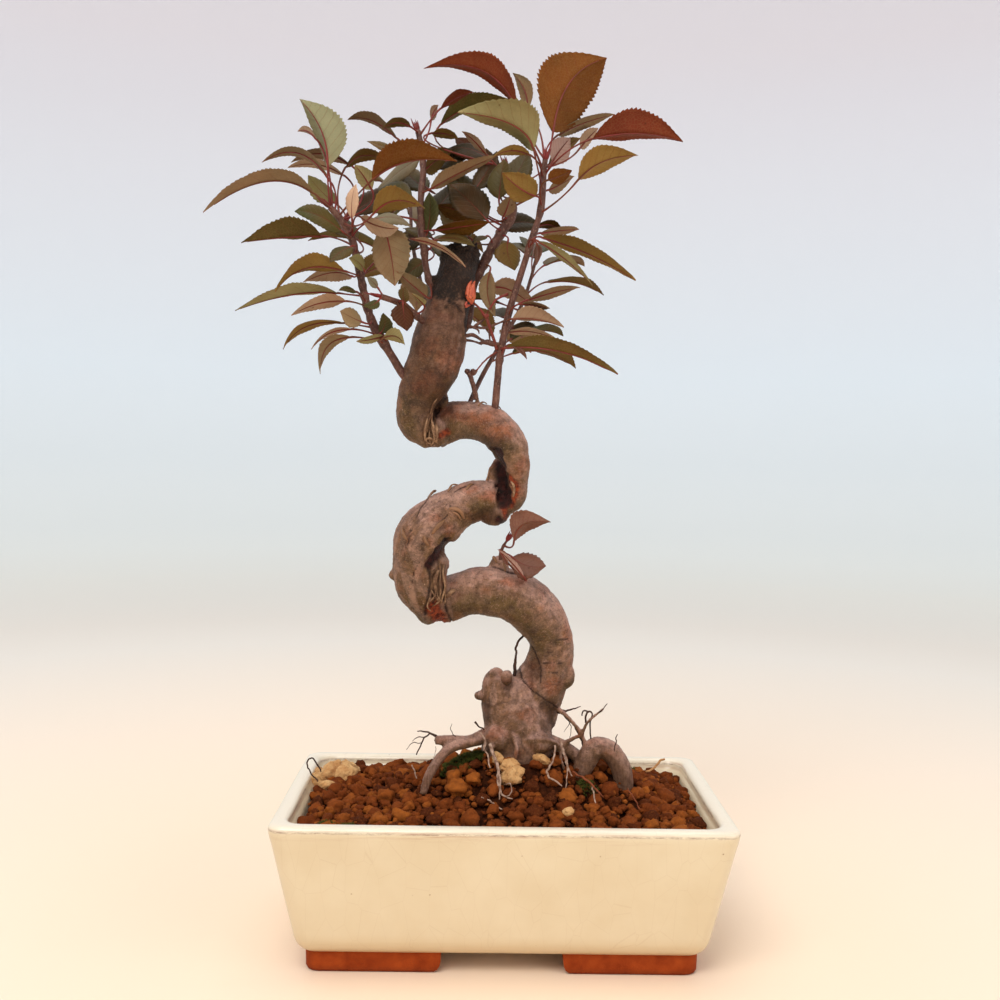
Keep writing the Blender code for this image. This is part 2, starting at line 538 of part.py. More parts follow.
# each shoot: stem rows (x, z, y, r) as seen, and leaves. A leaf row holds the height on the stem
# where its stalk starts, then as seen in the photograph's own frame of 1000 by 1000 the blade's
# base, the middle of its midrib and its tip, the depth of base and tip, how far the blade shows
# above and below the midrib, its real half width, the side that shows (u under, o upper)
SHOOTS = {
    "shoot_left": (
        ((-49, 281, -9, 2.4), (-54, 284.5, -10, 2.4), (-59, 292, -11, 2.3), (-65, 301.5, -12, 2.2),
         (-70.5, 311, -13, 2.1), (-74.5, 324, -14, 2.0), (-78, 340, -15, 1.8),
         (-81.5, 353, -16, 1.6), (-87, 362, -17, 1.5), (-92.5, 368, -18, 1.3)),
        ((364, 315, 194, 265, 181, 203, 212, -22, -30, 12, -2, 20, "u"),
         (367.8, 328, 167, 322, 131, 300, 99, -19, -14, 24, 7, 24, "u"),
         (365.5, 332, 184, 300, 153, 262, 162, -12, -4, 5, 4, 9, "u"),
         (366.8, 318, 141, 308, 131, 298, 131, -6, 8, 4, 2, 5, "u"),
         (362.5, 345, 168, 362, 155, 388, 160, -6, 4, 6, 6, 12, "u"),
         (361, 345, 176, 318, 164, 288, 167, 2, 12, 5, 4, 11, "u"),
         (359.5, 352, 166, 322, 153, 291, 162, 8, 16, 4, 6, 11, "u"),
         (357.5, 335, 203, 321, 191, 308, 175, -6, -8, 9, 10, 12, "o"),
         (353, 343, 232, 318, 215, 295, 211, -24, -37, 9, 9, 13, "o"),
         (355.5, 352, 219, 352, 200, 356, 184, -28, -30, 6, 6, 9, "o"),
         (351.5, 361, 217, 380, 226, 399, 228, -26, -36, 6, 10, 12, "u"),
         (349, 322, 236, 285, 237, 241, 242, -14, -24, 18, 1, 20, "u"),
         (345, 352, 246, 340, 252, 330, 262, -24, -32, 6, 8, 10, "o"),
         (341, 364, 270, 358, 262, 349, 258, -22, -28, 8, 5, 9, "o"),
         (334, 345, 271, 305, 268, 275, 291, -24, -36, 12, 3, 17, "u"),
         (338, 352, 276, 332, 272, 303, 282, -6, 8, 4, 8, 12, "u"),
         (324, 338, 293, 292, 294, 235, 310, -13, -10, 10, 1, 17, "u"),
         (318, 346, 301, 318, 303, 291, 315, -27, -38, 7, 6, 13, "u"),
         (319, 357, 292, 348, 289, 339, 290, -20, -27, 3, 3, 5, "o"),
         (312, 362, 322, 351, 317, 340, 311, -26, -31, 9, 9, 12, "o"),
         (308, 345, 323, 306, 326, 283, 349, -14, -14, 4, 4, 11, "u"),
         (303.5, 352, 329, 328, 333, 311, 349, -24, -32, 2, 3, 7, "u"),
         (301, 352, 337, 327, 346, 320, 374, -16, -20, 7, 5, 11, "u"),
         (300, 383, 336, 370, 339, 356, 341, -18, -26, 4, 4, 7, "u"),
         (303, 380, 334, 385, 324, 383, 313, -16, -20, 6, 8, 9, "o"),
         (360, 373, 214, 396, 200, 425, 208, -36, -44, 14, 8, 18, "u"),
         (363.3, 372, 180, 408, 161, 457, 161, -30, -42, 22, -1, 25, "u"),
         (300.5, 383, 338, 396, 336, 405, 345, -20, -24, 8, 5, 9, "u"),
         (353, 370, 221, 392, 217, 411, 226, -24, -22, 4, 7, 10, "o"),
         (361.5, 372, 190, 364, 176, 355, 165, -22, -24, 8, 8, 10, "u"),
         )),
    "shoot_left_low": (
        ((-44, 311, -14, 1.7), (-47.5, 314, -17, 1.7), (-54, 319.5, -22, 1.5), (-60, 322, -26, 1.3),
         (-66.5, 324, -30, 1.2)),
        ((321, 403, 303, 404, 316, 407, 331, -30, -33, 10, 12, 13, "o"),
         (320.5, 405, 303, 403, 294, 405, 287, -29, -33, 5, 6, 7, "o"),
         (315, 424, 305, 420, 300, 412, 293, -26, -32, 4, 3, 6, "u"),
         (323.5, 378, 288, 373, 282, 367, 277, -31, -33, 4, 4, 6, "o"),
         (323.8, 379, 300, 372, 305, 364, 306, -33, -38, 4, 5, 7, "o"),
         )),
    "shoot_mid": (
        ((-38.5, 327, -8, 1.9), (-41.6, 331.5, -9, 1.9), (-44, 340, -9, 1.8), (-45, 349, -9, 1.8),
         (-46.5, 358, -8, 1.7), (-47, 372, -6, 1.6), (-46, 386, -3, 1.5), (-47, 398, 0, 1.3),
         (-49, 407, 2, 1.2)),
        ((362, 384, 226, 391, 254, 395, 286, -18, -22, 20, 18, 21, "u"),
         (402, 398, 139, 372, 120, 348, 119, 6, 12, 7, 3, 12, "u"),
         (406, 411, 127, 397, 122, 382, 128, -4, -8, 5, 4, 10, "u"),
         (396, 398, 152, 385, 147, 367, 141, -4, -8, 4, 4, 8, "o"),
         (352, 413, 239, 441, 247, 466, 267, -20, -26, 3, 3, 8, "u"),
         (354, 436, 240, 455, 238, 475, 246, -14, -18, 5, 4, 9, "o"),
         (357, 435, 230, 462, 226, 490, 222, -12, -14, 6, 8, 14, "u"),
         (333, 427, 297, 413, 285, 397, 271, -16, -22, 9, 7, 12, "u"),
         (376, 430, 189, 460, 172, 495, 156, -10, -12, 9, 5, 14, "u"),
         (404, 440, 109, 456, 97, 474, 92, 0, 2, 6, 3, 11, "u"),
         (390, 420, 158, 398, 172, 374, 194, 6, 22, 6, 8, 13, "o"),
         (385, 424, 170, 436, 160, 452, 150, 6, 16, 9, 9, 13, "u"),
         (368, 412, 197, 392, 190, 370, 196, 2, 14, 9, 9, 13, "o"),
         (399, 431, 120, 433, 112, 438, 105, 10, 14, 4, 4, 6, "u"),
         (353, 427, 233, 430, 212, 429, 192, -9, -9, 9, 8, 11, "o"),
         (346, 432, 238, 419, 231, 403, 228, -3, 4, 4, 5, 9, "o"),
         )),
    "shoot_crown": (
        ((-26, 307, -4, 2.8), (-22.5, 313, -2, 2.8), (-20.4, 329, 0, 2.6), (-16, 339, 2, 2.4),
         (-11, 349, 4, 2.3), (-5.6, 358, 6, 2.1), (-1, 366, 8, 1.9), (-1, 378, 10, 1.6),
         (-4, 390, 12, 1.4)),
        ((358, 487, 220, 468, 200, 450, 184, -3, 1, 17, 15, 20, "o"),
         (386, 487, 155, 474, 140, 462, 131, 6, 2, 4, 4, 7, "u"),
         (389.5, 432, 133, 445, 133, 458, 138, 14, 18, 5, 5, 9, "u"),
         (380, 548, 165, 562, 150, 580, 138, 14, 24, 7, 7, 11, "u"),
         (363, 499, 199, 501, 179, 504, 159, 1, 3, 13, 12, 15, "o"),
         (366, 503, 217, 507, 207, 510, 196, 2, -4, 9, 8, 11, "u"),
         (341, 490, 271, 487, 294, 495, 317, -4, -8, 8, 8, 11, "u"),
         (336, 489, 288, 511, 290, 537, 310, 3, 6, 11, 9, 14, "u"),
         (350, 487, 236, 480, 238, 474, 243, -3, -12, 3, 3, 5, "o"),
         (356, 508, 241, 508, 255, 515, 270, 0, -4, 12, 13, 14, "o"),
         (389, 440, 125, 469, 107, 511, 100, 24, 34, 12, 4, 16, "u"),
         (370, 548, 190, 560, 184, 574, 176, 12, 18, 6, 6, 10, "u"),
         (383, 489, 159, 466, 148, 443, 151, 15, 20, 5, 8, 12, "o"),
         (364, 475, 218, 455, 209, 436, 205, 6, 2, 5, 10, 13, "u"),
         (360, 474, 190, 486, 173, 497, 151, 11, 13, 9, 9, 12, "o"),
         )),
    "shoot_right": (
        ((-8, 266, -3, 2.1), (-7.5, 271, -5, 2.1), (-6.7, 282.5, -6, 2.0), (-5.5, 296, -7, 1.9),
         (-1.6, 317, -8, 1.8), (4.1, 336.5, -9, 1.8), (9.9, 356, -10, 1.7), (13.6, 370, -10, 1.6),
         (14.4, 388, -10, 1.4), (15.5, 394, -10, 0.9)),
        ((392, 553, 136, 567, 86, 600, 53, -10, -4, 31, 27, 31, "u"),
         (388.5, 518, 110, 482, 70, 424, 68, -16, -20, 16, 6, 18, "u"),
         (380, 534, 150, 512, 124, 458, 112, -26, -34, 26, 9, 28, "u"),
         (386, 592, 139, 638, 133, 683, 141, -18, -22, 22, 5, 23, "u"),
         (367, 578, 180, 603, 161, 638, 155, -24, -32, 15, 9, 19, "u"),
         (383, 558, 135, 582, 123, 614, 114, 0, 10, 5, 6, 12, "u"),
         (377, 552, 162, 560, 150, 570, 138, 2, 6, 11, 11, 12, "u"),
         (390, 580, 148, 588, 138, 598, 128, 6, 14, 7, 5, 8, "u"),
         (393.5, 528, 110, 525, 90, 513, 73, 2, 6, 8, 6, 10, "u"),
         (372, 548, 180, 559, 176, 572, 170, -18, -22, 8, 7, 10, "u"),
         (390.5, 512, 106, 490, 106, 466, 113, 0, 2, 3, 5, 8, "u"),
         (384.5, 530, 155, 510, 150, 491, 158, -20, -28, 5, 4, 9, "u"),
         (370, 536, 196, 520, 188, 502, 172, -16, -22, 15, 13, 16, "u"),
         (357.5, 535, 228, 548, 224, 563, 231, -4, 4, 5, 4, 8, "u"),
         (352.3, 541, 237, 590, 254, 636, 280, -16, -28, 10, 4, 16, "u"),
         (349.5, 538, 241, 566, 259, 593, 285, -24, -36, 5, 3, 9, "u"),
         (354, 540, 233, 560, 230, 579, 229, -4, 8, 4, 5, 9, "u"),
         (350, 537, 244, 539, 254, 536, 265, -17, -20, 5, 3, 6, "o"),
         (319, 527, 300, 553, 292, 580, 287, -10, -4, 5, 5, 11, "u"),
         (315.5, 522, 304, 537, 305, 550, 308, -18, -26, 3, 4, 7, "u"),
         (311, 512, 319, 537, 319, 564, 327, -16, -26, 12, 2, 14, "u"),
         (298.5, 505, 348, 560, 351, 618, 374, -14, -26, 13, 1, 16, "u"),
         (304, 508, 332, 530, 331, 556, 338, -2, 8, 4, 4, 9, "u"),
         (294, 512, 345, 520, 350, 527, 359, -14, -20, 3, 2, 4, "o"),
         )),
    "shoot_back_left": (
        ((-38, 300, 0, 2.4), (-39, 305, 8, 2.3), (-43, 318, 20, 2.1), (-47, 334, 32, 1.9),
         (-51, 352, 42, 1.7), (-52, 370, 50, 1.4)),
        ()),
    "shoot_back_right": (
        ((-22, 263, 6, 2.4), (-21, 270, 16, 2.3), (-14, 286, 26, 2.1), (-4, 304, 36, 1.9),
         (6, 324, 44, 1.7), (12, 346, 50, 1.4)),
        ()),
    "sucker": (
        ((-3.5, 186, 2, 1.6), (-3.5, 193, 0, 1.5), (-2.5, 198, -2, 1.2), (0, 202, -4, 0.9)),
        ((199, 512, 540, 526, 522, 549, 521, -13, -17, 13, 9, 15, "u"),
         (195, 511, 559, 528, 566, 546, 567, -8, -14, 10, 12, 13, "o"),
         (196.5, 500, 551, 505, 558, 508, 565, -6, -13, 4, 3, 6, "u"),
         )),
}
# shoots whose leaves follow a rule: number, first height, last height, length, outward bearing
RULED = {
    "shoot_back_left": (9, 312, 369, 46, 108.0),
    "shoot_back_right": (9, 292, 345, 46, 82.0),
}
# dead twig on the bend, no leaves; it belongs to the trunk
TWIG = ((-15.5, 268, 0, 1.5), (-16.5, 272, -2, 1.3), (-19, 281, -4, 1.1), (-20.5, 286.5, -5, 1.3))


def stem_point(rows, z):
    for a, b in zip(rows, rows[1:]):
        lo, hi = min(a[1], b[1]), max(a[1], b[1])
        if lo <= z <= hi:
            t = (z - a[1]) / (b[1] - a[1]) if b[1] != a[1] else 0.0
            m = [a[k] + (b[k] - a[k]) * t for k in range(4)]
            return seen(m[0], m[1], m[2])
    m = rows[-1] if z > rows[0][1] else rows[0]
    return seen(m[0], m[1], m[2])


def at_spot(px, py, y):
    """Real point at depth y seen at a spot of the photograph's 1000 by 1000 frame."""
    d = AHEAD + RIGHT * ((px - 500.0) / LENS) + ABOVE * ((500.0 - py) / LENS)
    return EYE + d * ((y - EYE.y) / d.y)


def leaf_shape(start, base, mid_point, tip, da, db, n, wide, seed):
    """Thin saw-edged blade on its stalk: its halves lie along da and db from the midrib."""
    rng = random.Random(seed)
    length = (mid_point - base).length + (tip - mid_point).length
    bend = mid_point * 2 - (base + tip) / 2
    axis = (bend - base).normalized()
    n = (n - axis * n.dot(axis)).normalized()
    if axis.cross(n).dot(da - db) < 0:
        da, db = db, da
    teeth = 4 if length > 36 else 3 if length > 23 else 2 if length > 10 else 1
    ph = rng.uniform(0, 6.28)
    flop = wide * 0.07

    def at(t, s, w):
        p = base * (1 - t) ** 2 + bend * (2 * t * (1 - t)) + tip * t * t
        lift = flop * math.sin(7.5 * t + ph + (2.2 if s > 0 else 0)) * min(1.0, w / wide)
        return p + (da if s > 0 else db) * w + n * lift

    def half(t):
        return wide * math.sin(math.pi * t ** 0.86) ** 0.78

    # stalk: two pairs of points, then the pair that the blade opens from
    sag = (start + base) / 2 - Vector((0, 0, 0.06)) * (start - base).length
    pts, thick, normal = [], [], []
    stations = [start, sag, base]
    ways = [(sag - start).normalized(), (base - sag).normalized(), axis]
    turn = [n]
    for k in (1, 0):
        turn.insert(0, ways[k + 1].rotation_difference(ways[k]) @ turn[0])
    ups = [turn[0], (turn[0] + turn[1]).normalized(), (turn[1] + turn[2]).normalized()]
    acrosses = [way.cross(up).normalized() for way, up in zip(ways, turn)]
    for p, up, across in zip(stations, ups, acrosses):
        for s in (1, -1):
            pts.append(p + across * (s * STALK / 2))
            thick.append(STALK)
            normal.append(up)
    faces = [(0, 2, 3), (0, 3, 1), (2, 4, 5), (2, 5, 3)]
    mid = {}
    for j in range(1, teeth + 1):
        mid[j] = len(pts)
        pts.append(at(j / teeth, 0, 0))
    faces.append((4, mid[1], 5))
    sides = []
    for s, foot in ((1, 4), (-1, 5)):
        notch, tooth = {}, {}
        for j in range(teeth):
            if j:
                t = j / teeth - 0.02
                notch[j] = len(pts)
                pts.append(at(t, s, half(t) * 0.84))
            t = (j + 0.62) / teeth
            tooth[j] = len(pts)
            pts.append(at(t, s, half(t) * 1.06))
        tri = [(foot, tooth[0], mid[1])]
        chain = [foot]
        for j in range(teeth):
            if j:
                tri += [(mid[j], notch[j], tooth[j]), (mid[j], tooth[j], mid[j + 1])]
                chain.append(notch[j])
            if j < teeth - 1:
                tri.append((mid[j + 1], tooth[j], notch[j + 1]))
            chain.append(tooth[j])
        faces += [f if s > 0 else (f[0], f[2], f[1]) for f in tri]
        sides.append(chain)
    loop = [0, 2] + sides[0] + [mid[teeth]] + list(reversed(sides[1])) + [3, 1]
    thick += [LEAF_THICK] * (len(pts) - len(thick))

    normal += [Vector((0, 0, 0)) for _ in range(len(pts) - 6)]
    for f in faces:
        a, b, c = (pts[i] for i in f)
        nn = (b - a).cross(c - a)
        for i in f:
            if i > 5:
                normal[i] += nn if nn.dot(n) > 0 else -nn
    top = [p + q.normalized() * h / 2 for p, q, h in zip(pts, normal, thick)]
    low = [p - q.normalized() * h / 2 for p, q, h in zip(pts, normal, thick)]
    count = len(pts)
    body = faces + [tuple(i + count for i in reversed(f)) for f in faces]
    for a, b in zip(loop, loop[1:] + loop[:1]):
        body.append((b, a, a + count))
        body.append((b, a + count, b + count))
    return top + low, body


def ruled_leaves(name):
    number, z0, z1, length, bearing = RULED[name]
    rows = SHOOTS[name][0]
    rng = random.Random(name)
    out = []
    for i in range(number):
        t = i / (number - 1)
        start = stem_point(rows, z0 + (z1 - z0) * t)
        a = math.radians(bearing + rng.uniform(-12, 12) + (i % 5 - 2) * 30)
        d = Vector((math.cos(a), math.sin(a), 0))
        base = start + d * rng.uniform(9, 15) + Vector((0, 0, rng.uniform(3, 12)))
        ln = length * rng.uniform(0.78, 1.08) * (1.0 - 0.15 * t)
        drop_z = rng.uniform(-0.45, 0.25) + 0.3 * t
        tip = base + (d + Vector((0, 0, drop_z))).normalized() * ln
        facing = (Vector((0, 0, 1)) + d * rng.uniform(-0.1, 0.4)
                  + Vector((rng.uniform(-.3, .3), rng.uniform(-.3, .3), 0)))
        width, arch = ln * rng.uniform(0.46, 0.56), rng.uniform(3, 6)
        axis = (tip - base).normalized()
        n = (facing - axis * facing.dot(axis)).normalized()
        side = axis.cross(n)
        mid = (base + tip) / 2 + n * arch
        near, far = (side + n * 0.25).normalized(), (n * 0.25 - side).normalized()
        out.append((start, base, mid, tip, near, far, n, width * 0.5))
    return out


def shoot_leaves(name):
    """Each leaf: stalk's start, base, middle, tip, its halves' directions, upper side, width."""
    rows, leaves = SHOOTS[name]
    out = []
    for zs, bx, by, mx, my, tx, ty, yb, yt, above, below, half, kind in leaves:
        base, tip = at_spot(bx, by, yb), at_spot(tx, ty, yt)
        mid = at_spot(mx, my, (yb + yt) / 2)
        start = stem_point(rows, zs)
        start += (base - start).normalized() * 0.4
        ray = (mid - EYE).normalized()
        axis = (tip - base).normalized()
        up = ray.cross(axis).normalized()
        if (up.z if abs(up.z) > 0.15 else -up.x) < 0:
            up = -up
        away = axis.cross(up)
        away = away if away.dot(ray) > 0 else -away
        half = max(half, above, abs(below))
        ca, cb = above / half, below / half
        toward = -1.0 if kind == "u" else 1.0
        da = up * ca + away * (toward * math.sqrt(max(0.0, 1 - ca * ca)))
        db = -up * cb - away * (toward * math.sqrt(max(0.0, 1 - cb * cb)))
        n = up * (2.0 - ca - cb + 0.2) - ray * (toward * (ca + cb))
        n = (n - axis * n.dot(axis)).normalized()
        out.append((start, base, mid, tip, da, db, n, half * (mid - EYE).length / LENS))
    if name in RULED:
        out += ruled_leaves(name)
    return out


def make_shoot(name, col, cutters):
    rows = SHOOTS[name][0]
    group = new_collection(name + "_leaves")
    stem = mesh_object(name, *tube_shape(path(rows), 5), col)
    for i, leaf in enumerate(shoot_leaves(name)):
        mesh_object("leaf", *leaf_shape(*leaf, len(name) * 100 + i), group)
    boolean(stem, group, "UNION")
    drop_collection(group)
    return stem


def socket_shape(rows, extra):
    """Plain hole that a shoot's foot stands in."""
    pts = path(rows)
    a, b = pts[0][0], pts[1][0]
    d = (b - a).normalized()
    return tube_shape([(a - d * extra, pts[0][1] + extra), (a, pts[0][1] + extra)]
                      + [(p, r + extra) for p, r in pts[1:4]], 5)


# ---------------------------------------------------------------- build

def main():
    clear_scene()
    bonsai = new_collection("apple_bonsai")
    cutters = new_collection("cutters")

    make_pot(bonsai, cutters)
    make_screen(bonsai, -1, cutters)
    make_screen(bonsai, 1, cutters)
    soil = make_soil(bonsai, cutters)

    trunk = joined(trunk_parts(), "trunk", bonsai)
    remeshed(trunk, 1.1, 0.0185)
    room = swollen(trunk, 0.55, cutters)
    fine = new_collection("fine")
    for part in thin_roots():
        mesh_object("root", *part, fine)
    mesh_object("twig", *tube_shape(path(TWIG), 6), fine)
    boolean(trunk, fine, "UNION")
    drop_collection(fine)
    for name in SHOOTS:
        hole = mesh_object("socket", *socket_shape(SHOOTS[name][0], GAP), cutters)
        boolean(trunk, hole, "DIFFERENCE")
        drop(hole)

    boolean(soil, room, "DIFFERENCE")
    drop(room)
    for part in thin_roots(GAP):
        hole = mesh_object("room", *part, cutters)
        boolean(soil, hole, "DIFFERENCE")
        drop(hole)
    keep_largest(soil)

    for name in SHOOTS:
        make_shoot(name, bonsai, cutters)

    for ob in list(bonsai.objects):
        bm = bmesh.new()
        bm.from_mesh(ob.data)
        bmesh.ops.triangulate(bm, faces=bm.faces)
        bmesh.ops.recalc_face_normals(bm, faces=bm.faces)
        bm.to_mesh(ob.data)
        bm.free()
    bpy.data.collections.remove(cutters)

    # the origin goes to the table, under the middle of the whole plant's bounding box
    points = [v.co for ob in bonsai.objects for v in ob.data.vertices]
    middle = Vector((0.0, 0.0, 0.0))
    for k in (0, 1):
        values = [p[k] for p in points]
        middle[k] = (min(values) + max(values)) / 2
    for ob in bonsai.objects:
        ob.data.transform(Matrix.Translation(-middle))


main()
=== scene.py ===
"""Dresses the apple bonsai: fine bark, veined leaves, glazed pot, loose soil grains and moss.

All sizes are millimetres about the middle of the pot's footprint; place() turns them into the
frame's metres. Positions written (x, z, y) are as they appear on the plane y = 0 from EYE.
"""
import json
import math
import random

import bmesh
import bpy
import numpy as np
from mathutils import Matrix, Vector, noise
from mathutils.bvhtree import BVHTree
from mathutils.kdtree import KDTree


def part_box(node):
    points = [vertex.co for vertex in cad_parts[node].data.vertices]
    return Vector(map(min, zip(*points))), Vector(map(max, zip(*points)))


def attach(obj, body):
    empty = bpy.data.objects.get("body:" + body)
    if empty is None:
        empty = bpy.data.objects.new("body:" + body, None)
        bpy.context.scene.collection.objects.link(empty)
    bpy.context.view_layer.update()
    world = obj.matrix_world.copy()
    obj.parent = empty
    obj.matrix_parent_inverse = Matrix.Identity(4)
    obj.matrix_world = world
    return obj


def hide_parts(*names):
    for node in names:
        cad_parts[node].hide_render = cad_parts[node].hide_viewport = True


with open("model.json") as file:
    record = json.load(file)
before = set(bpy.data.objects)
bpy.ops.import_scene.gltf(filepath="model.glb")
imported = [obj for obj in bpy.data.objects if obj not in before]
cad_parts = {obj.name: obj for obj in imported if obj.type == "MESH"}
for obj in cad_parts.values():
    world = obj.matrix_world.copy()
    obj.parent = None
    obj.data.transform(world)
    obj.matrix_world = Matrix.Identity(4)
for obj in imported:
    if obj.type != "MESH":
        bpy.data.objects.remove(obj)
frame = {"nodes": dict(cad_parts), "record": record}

MM = 0.001
EYE = Vector((-13.7, -589.9, 247.7))
PITCH, ROLL = 0.043, 0.019
LENS = 1160.0                # focal length in the photograph's own dots
AHEAD = Vector((0.016, 0.99987, 0.0)).normalized() * math.cos(PITCH)
AHEAD.z = -math.sin(PITCH)
LEVEL = Vector((AHEAD.y, -AHEAD.x, 0.0)).normalized()
RIGHT = LEVEL * math.cos(ROLL) + LEVEL.cross(AHEAD) * math.sin(ROLL)
ABOVE = LEVEL.cross(AHEAD) * math.cos(ROLL) - LEVEL * math.sin(ROLL)
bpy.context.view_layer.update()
POT_LOW, POT_HIGH = (Vector(corner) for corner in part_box("pot"))
SHIFT = Vector(((POT_LOW.x + POT_HIGH.x) / 2, (POT_LOW.y + POT_HIGH.y) / 2, 0.0))

# pot, as in the solids
RIM_HALF_X, RIM_HALF_Y = 110.0, 68.0
BASE_HALF_X, BASE_HALF_Y = 97.3, 55.3
RIM_Z, BASE_Z = 74.0, 9.2
WALL = 9.5
FLOOR_Z = 17.0
CORNER_OUT, CORNER_IN = 8.0, 9.0
FOOT_INSET, FOOT_WIDE = 4.0, 13.0
FOOT_GAP_X, FOOT_GAP_Y = 29.0, 17.0
DRAIN_X, DRAIN_R = 50.0, 9.0

SOIL_EDGE_Z = 69.0
MOUND_Z = 91.0
MOUND_AT = (5.0, 10.0)

LEAF_THICK = 0.5


def place(p):
    return Vector(p) * MM + SHIFT


def seen(x, z, y):
    """Real point (mm) at depth y that appears at (x, z) on the plane y = 0."""
    k = (y - EYE.y) / (0.0 - EYE.y)
    return EYE + (Vector((x, 0.0, z)) - EYE) * k


def scale_at(y):
    return (y - EYE.y) / -EYE.y


def smooth_step(lo, hi, v):
    t = max(0.0, min(1.0, (v - lo) / (hi - lo)))
    return t * t * (3 - 2 * t)


# Meshes

class Mesh:
    """Collects points, faces, materials and point attributes of one piece, in mm."""

    def __init__(self):
        self.points, self.faces, self.mats = [], [], []
        self.extra = {}

    def add(self, points, faces, mat=0, **extra):
        start = len(self.points)
        self.points += [tuple(p) for p in points]
        self.faces += [tuple(i + start for i in f) for f in faces]
        self.mats += [mat] * len(faces) if isinstance(mat, int) else list(mat)
        for key, values in extra.items():
            self.extra.setdefault(key, []).extend(values)

    def piece(self, name, materials, slot, replaces=(), smooth=True):
        pts = np.array(self.points, dtype=np.float64) * MM + np.array(SHIFT)
        me = bpy.data.meshes.new(name)
        me.from_pydata(pts.tolist(), [], self.faces)
        for m in materials:
            me.materials.append(m)
        me.polygons.foreach_set("material_index", self.mats)
        me.polygons.foreach_set("use_smooth", [smooth] * len(self.faces))
        for key, values in self.extra.items():
            flat = np.array(values, dtype=np.float32)
            if flat.ndim == 1:
                at = me.attributes.new(key, "FLOAT", "POINT")
                at.data.foreach_set("value", flat)
            else:
                at = me.attributes.new(key, "FLOAT_VECTOR", "POINT")
                at.data.foreach_set("vector", flat.ravel())
        me.update()
        ob = bpy.data.objects.new(name, me)
        bpy.context.scene.collection.objects.link(ob)
        return settle(ob, replaces)


def settle(ob, replaces=()):
    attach(ob, "root")
    if replaces:
        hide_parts(*replaces)
    return ob


def apply_all(ob):
    deps = bpy.context.evaluated_depsgraph_get()
    me = bpy.data.meshes.new_from_object(ob.evaluated_get(deps))
    ob.modifiers.clear()
    ob.data = me


def loose_object(name, points, faces):
    """Plain object in the frame's metres, for work that is applied later."""
    me = bpy.data.meshes.new(name)
    me.from_pydata([place(p) for p in points], [], faces)
    me.update()
    ob = bpy.data.objects.new(name, me)
    bpy.context.scene.collection.objects.link(ob)
    bm = bmesh.new()
    bm.from_mesh(me)
    bmesh.ops.recalc_face_normals(bm, faces=bm.faces)
    bm.to_mesh(me)
    bm.free()
    return ob


def boolean(ob, other, operation):
    mod = ob.modifiers.new("cut", "BOOLEAN")
    mod.operation = operation
    mod.solver = "EXACT"
    mod.object = other
    apply_all(ob)
    bpy.data.objects.remove(other, do_unlink=True)


def loft(rings, caps=True):
    n = len(rings[0])
    points = [p for ring in rings for p in ring]
    faces = [tuple(reversed(range(n)))] if caps else []
    for k in range(len(rings) - 1):
        for i in range(n):
            j = (i + 1) % n
            faces.append((k * n + i, k * n + j, (k + 1) * n + j, (k + 1) * n + i))
    if caps:
        faces.append(tuple(range((len(rings) - 1) * n, len(rings) * n)))
    return points, faces


def tube(points, sides, squash=None, turn=0.0):
    """Closed tube through (Vector, radius) points."""
    ctr = [Vector(p) for p, _ in points]
    n = len(ctr)
    tang = [(ctr[min(i + 1, n - 1)] - ctr[max(i - 1, 0)]).normalized() for i in range(n)]
    ref = Vector((0, 1, 0)) if abs(tang[0].y) < 0.8 else Vector((1, 0, 0))
    u = (ref - tang[0] * ref.dot(tang[0])).normalized()
    rings = []
    for i in range(n):
        u = (u - tang[i] * u.dot(tang[i])).normalized()
        v = tang[i].cross(u)
        ring = []
        for k in range(sides):
            a = 2 * math.pi * k / sides + turn
            rr = points[i][1] * (squash(i, a) if squash else 1.0)
            ring.append(ctr[i] + u * (rr * math.cos(a)) + v * (rr * math.sin(a)))
        rings.append(ring)
    return loft(rings)


def smooth_path(points, per=3):
    """Catmull-Rom through (Vector, radius) points."""
    out = []
    n = len(points)
    for i in range(n - 1):
        p0, p1 = points[max(i - 1, 0)], points[i]
        p2, p3 = points[i + 1], points[min(i + 2, n - 1)]
        for s in range(per):
            t = s / per

            def mix(a, b, c, d):
                return (b * 2 + (c - a) * t + (a * 2 - b * 5 + c * 4 - d) * t * t
                        + (b * 3 - a - c * 3 + d) * t ** 3) * 0.5
            out.append((mix(p0[0], p1[0], p2[0], p3[0]), mix(p0[1], p1[1], p2[1], p3[1])))
    out.append(points[-1])
    return out


def path(rows):
    return [(seen(x, z, y), r * scale_at(y)) for x, z, y, r in rows]


# Shaders

class Shader:
    """Small helper that wires one Principled material."""

    def __init__(self, name):
        self.mat = bpy.data.materials.new(name)
        self.mat.use_nodes = True
        self.tree = self.mat.node_tree
        self.bsdf = self.tree.nodes["Principled BSDF"]

    def node(self, kind, values=None, **props):
        return add_node(self.tree, kind, values, **props)

    def set(self, **sockets):
        for key, value in sockets.items():
            self.put(key.replace("_", " "), value)
        return self

    def put(self, socket, value):
        wire(self.tree, value, self.bsdf.inputs[socket])


def wire(tree, value, socket):
    if isinstance(value, bpy.types.NodeSocket):
        tree.links.new(value, socket)
    elif isinstance(value, (tuple, list)) and len(value) == 3 and socket.type == "RGBA":
        socket.default_value = (*value, 1.0)
    else:
        socket.default_value = value


def add_node(tree, kind, values=None, **props):
    n = tree.nodes.new("ShaderNode" + kind)
    for key, value in props.items():
        setattr(n, key, value)
    for key, value in (values or {}).items():
        wire(tree, value, n.inputs[key])
    return n


def rgb(r, g, b):
    """Display colour 0-255 to the linear values that sockets take."""
    return tuple(((c / 255) / 12.92 if c <= 10 else ((c / 255 + 0.055) / 1.055) ** 2.4)
                 for c in (r, g, b))


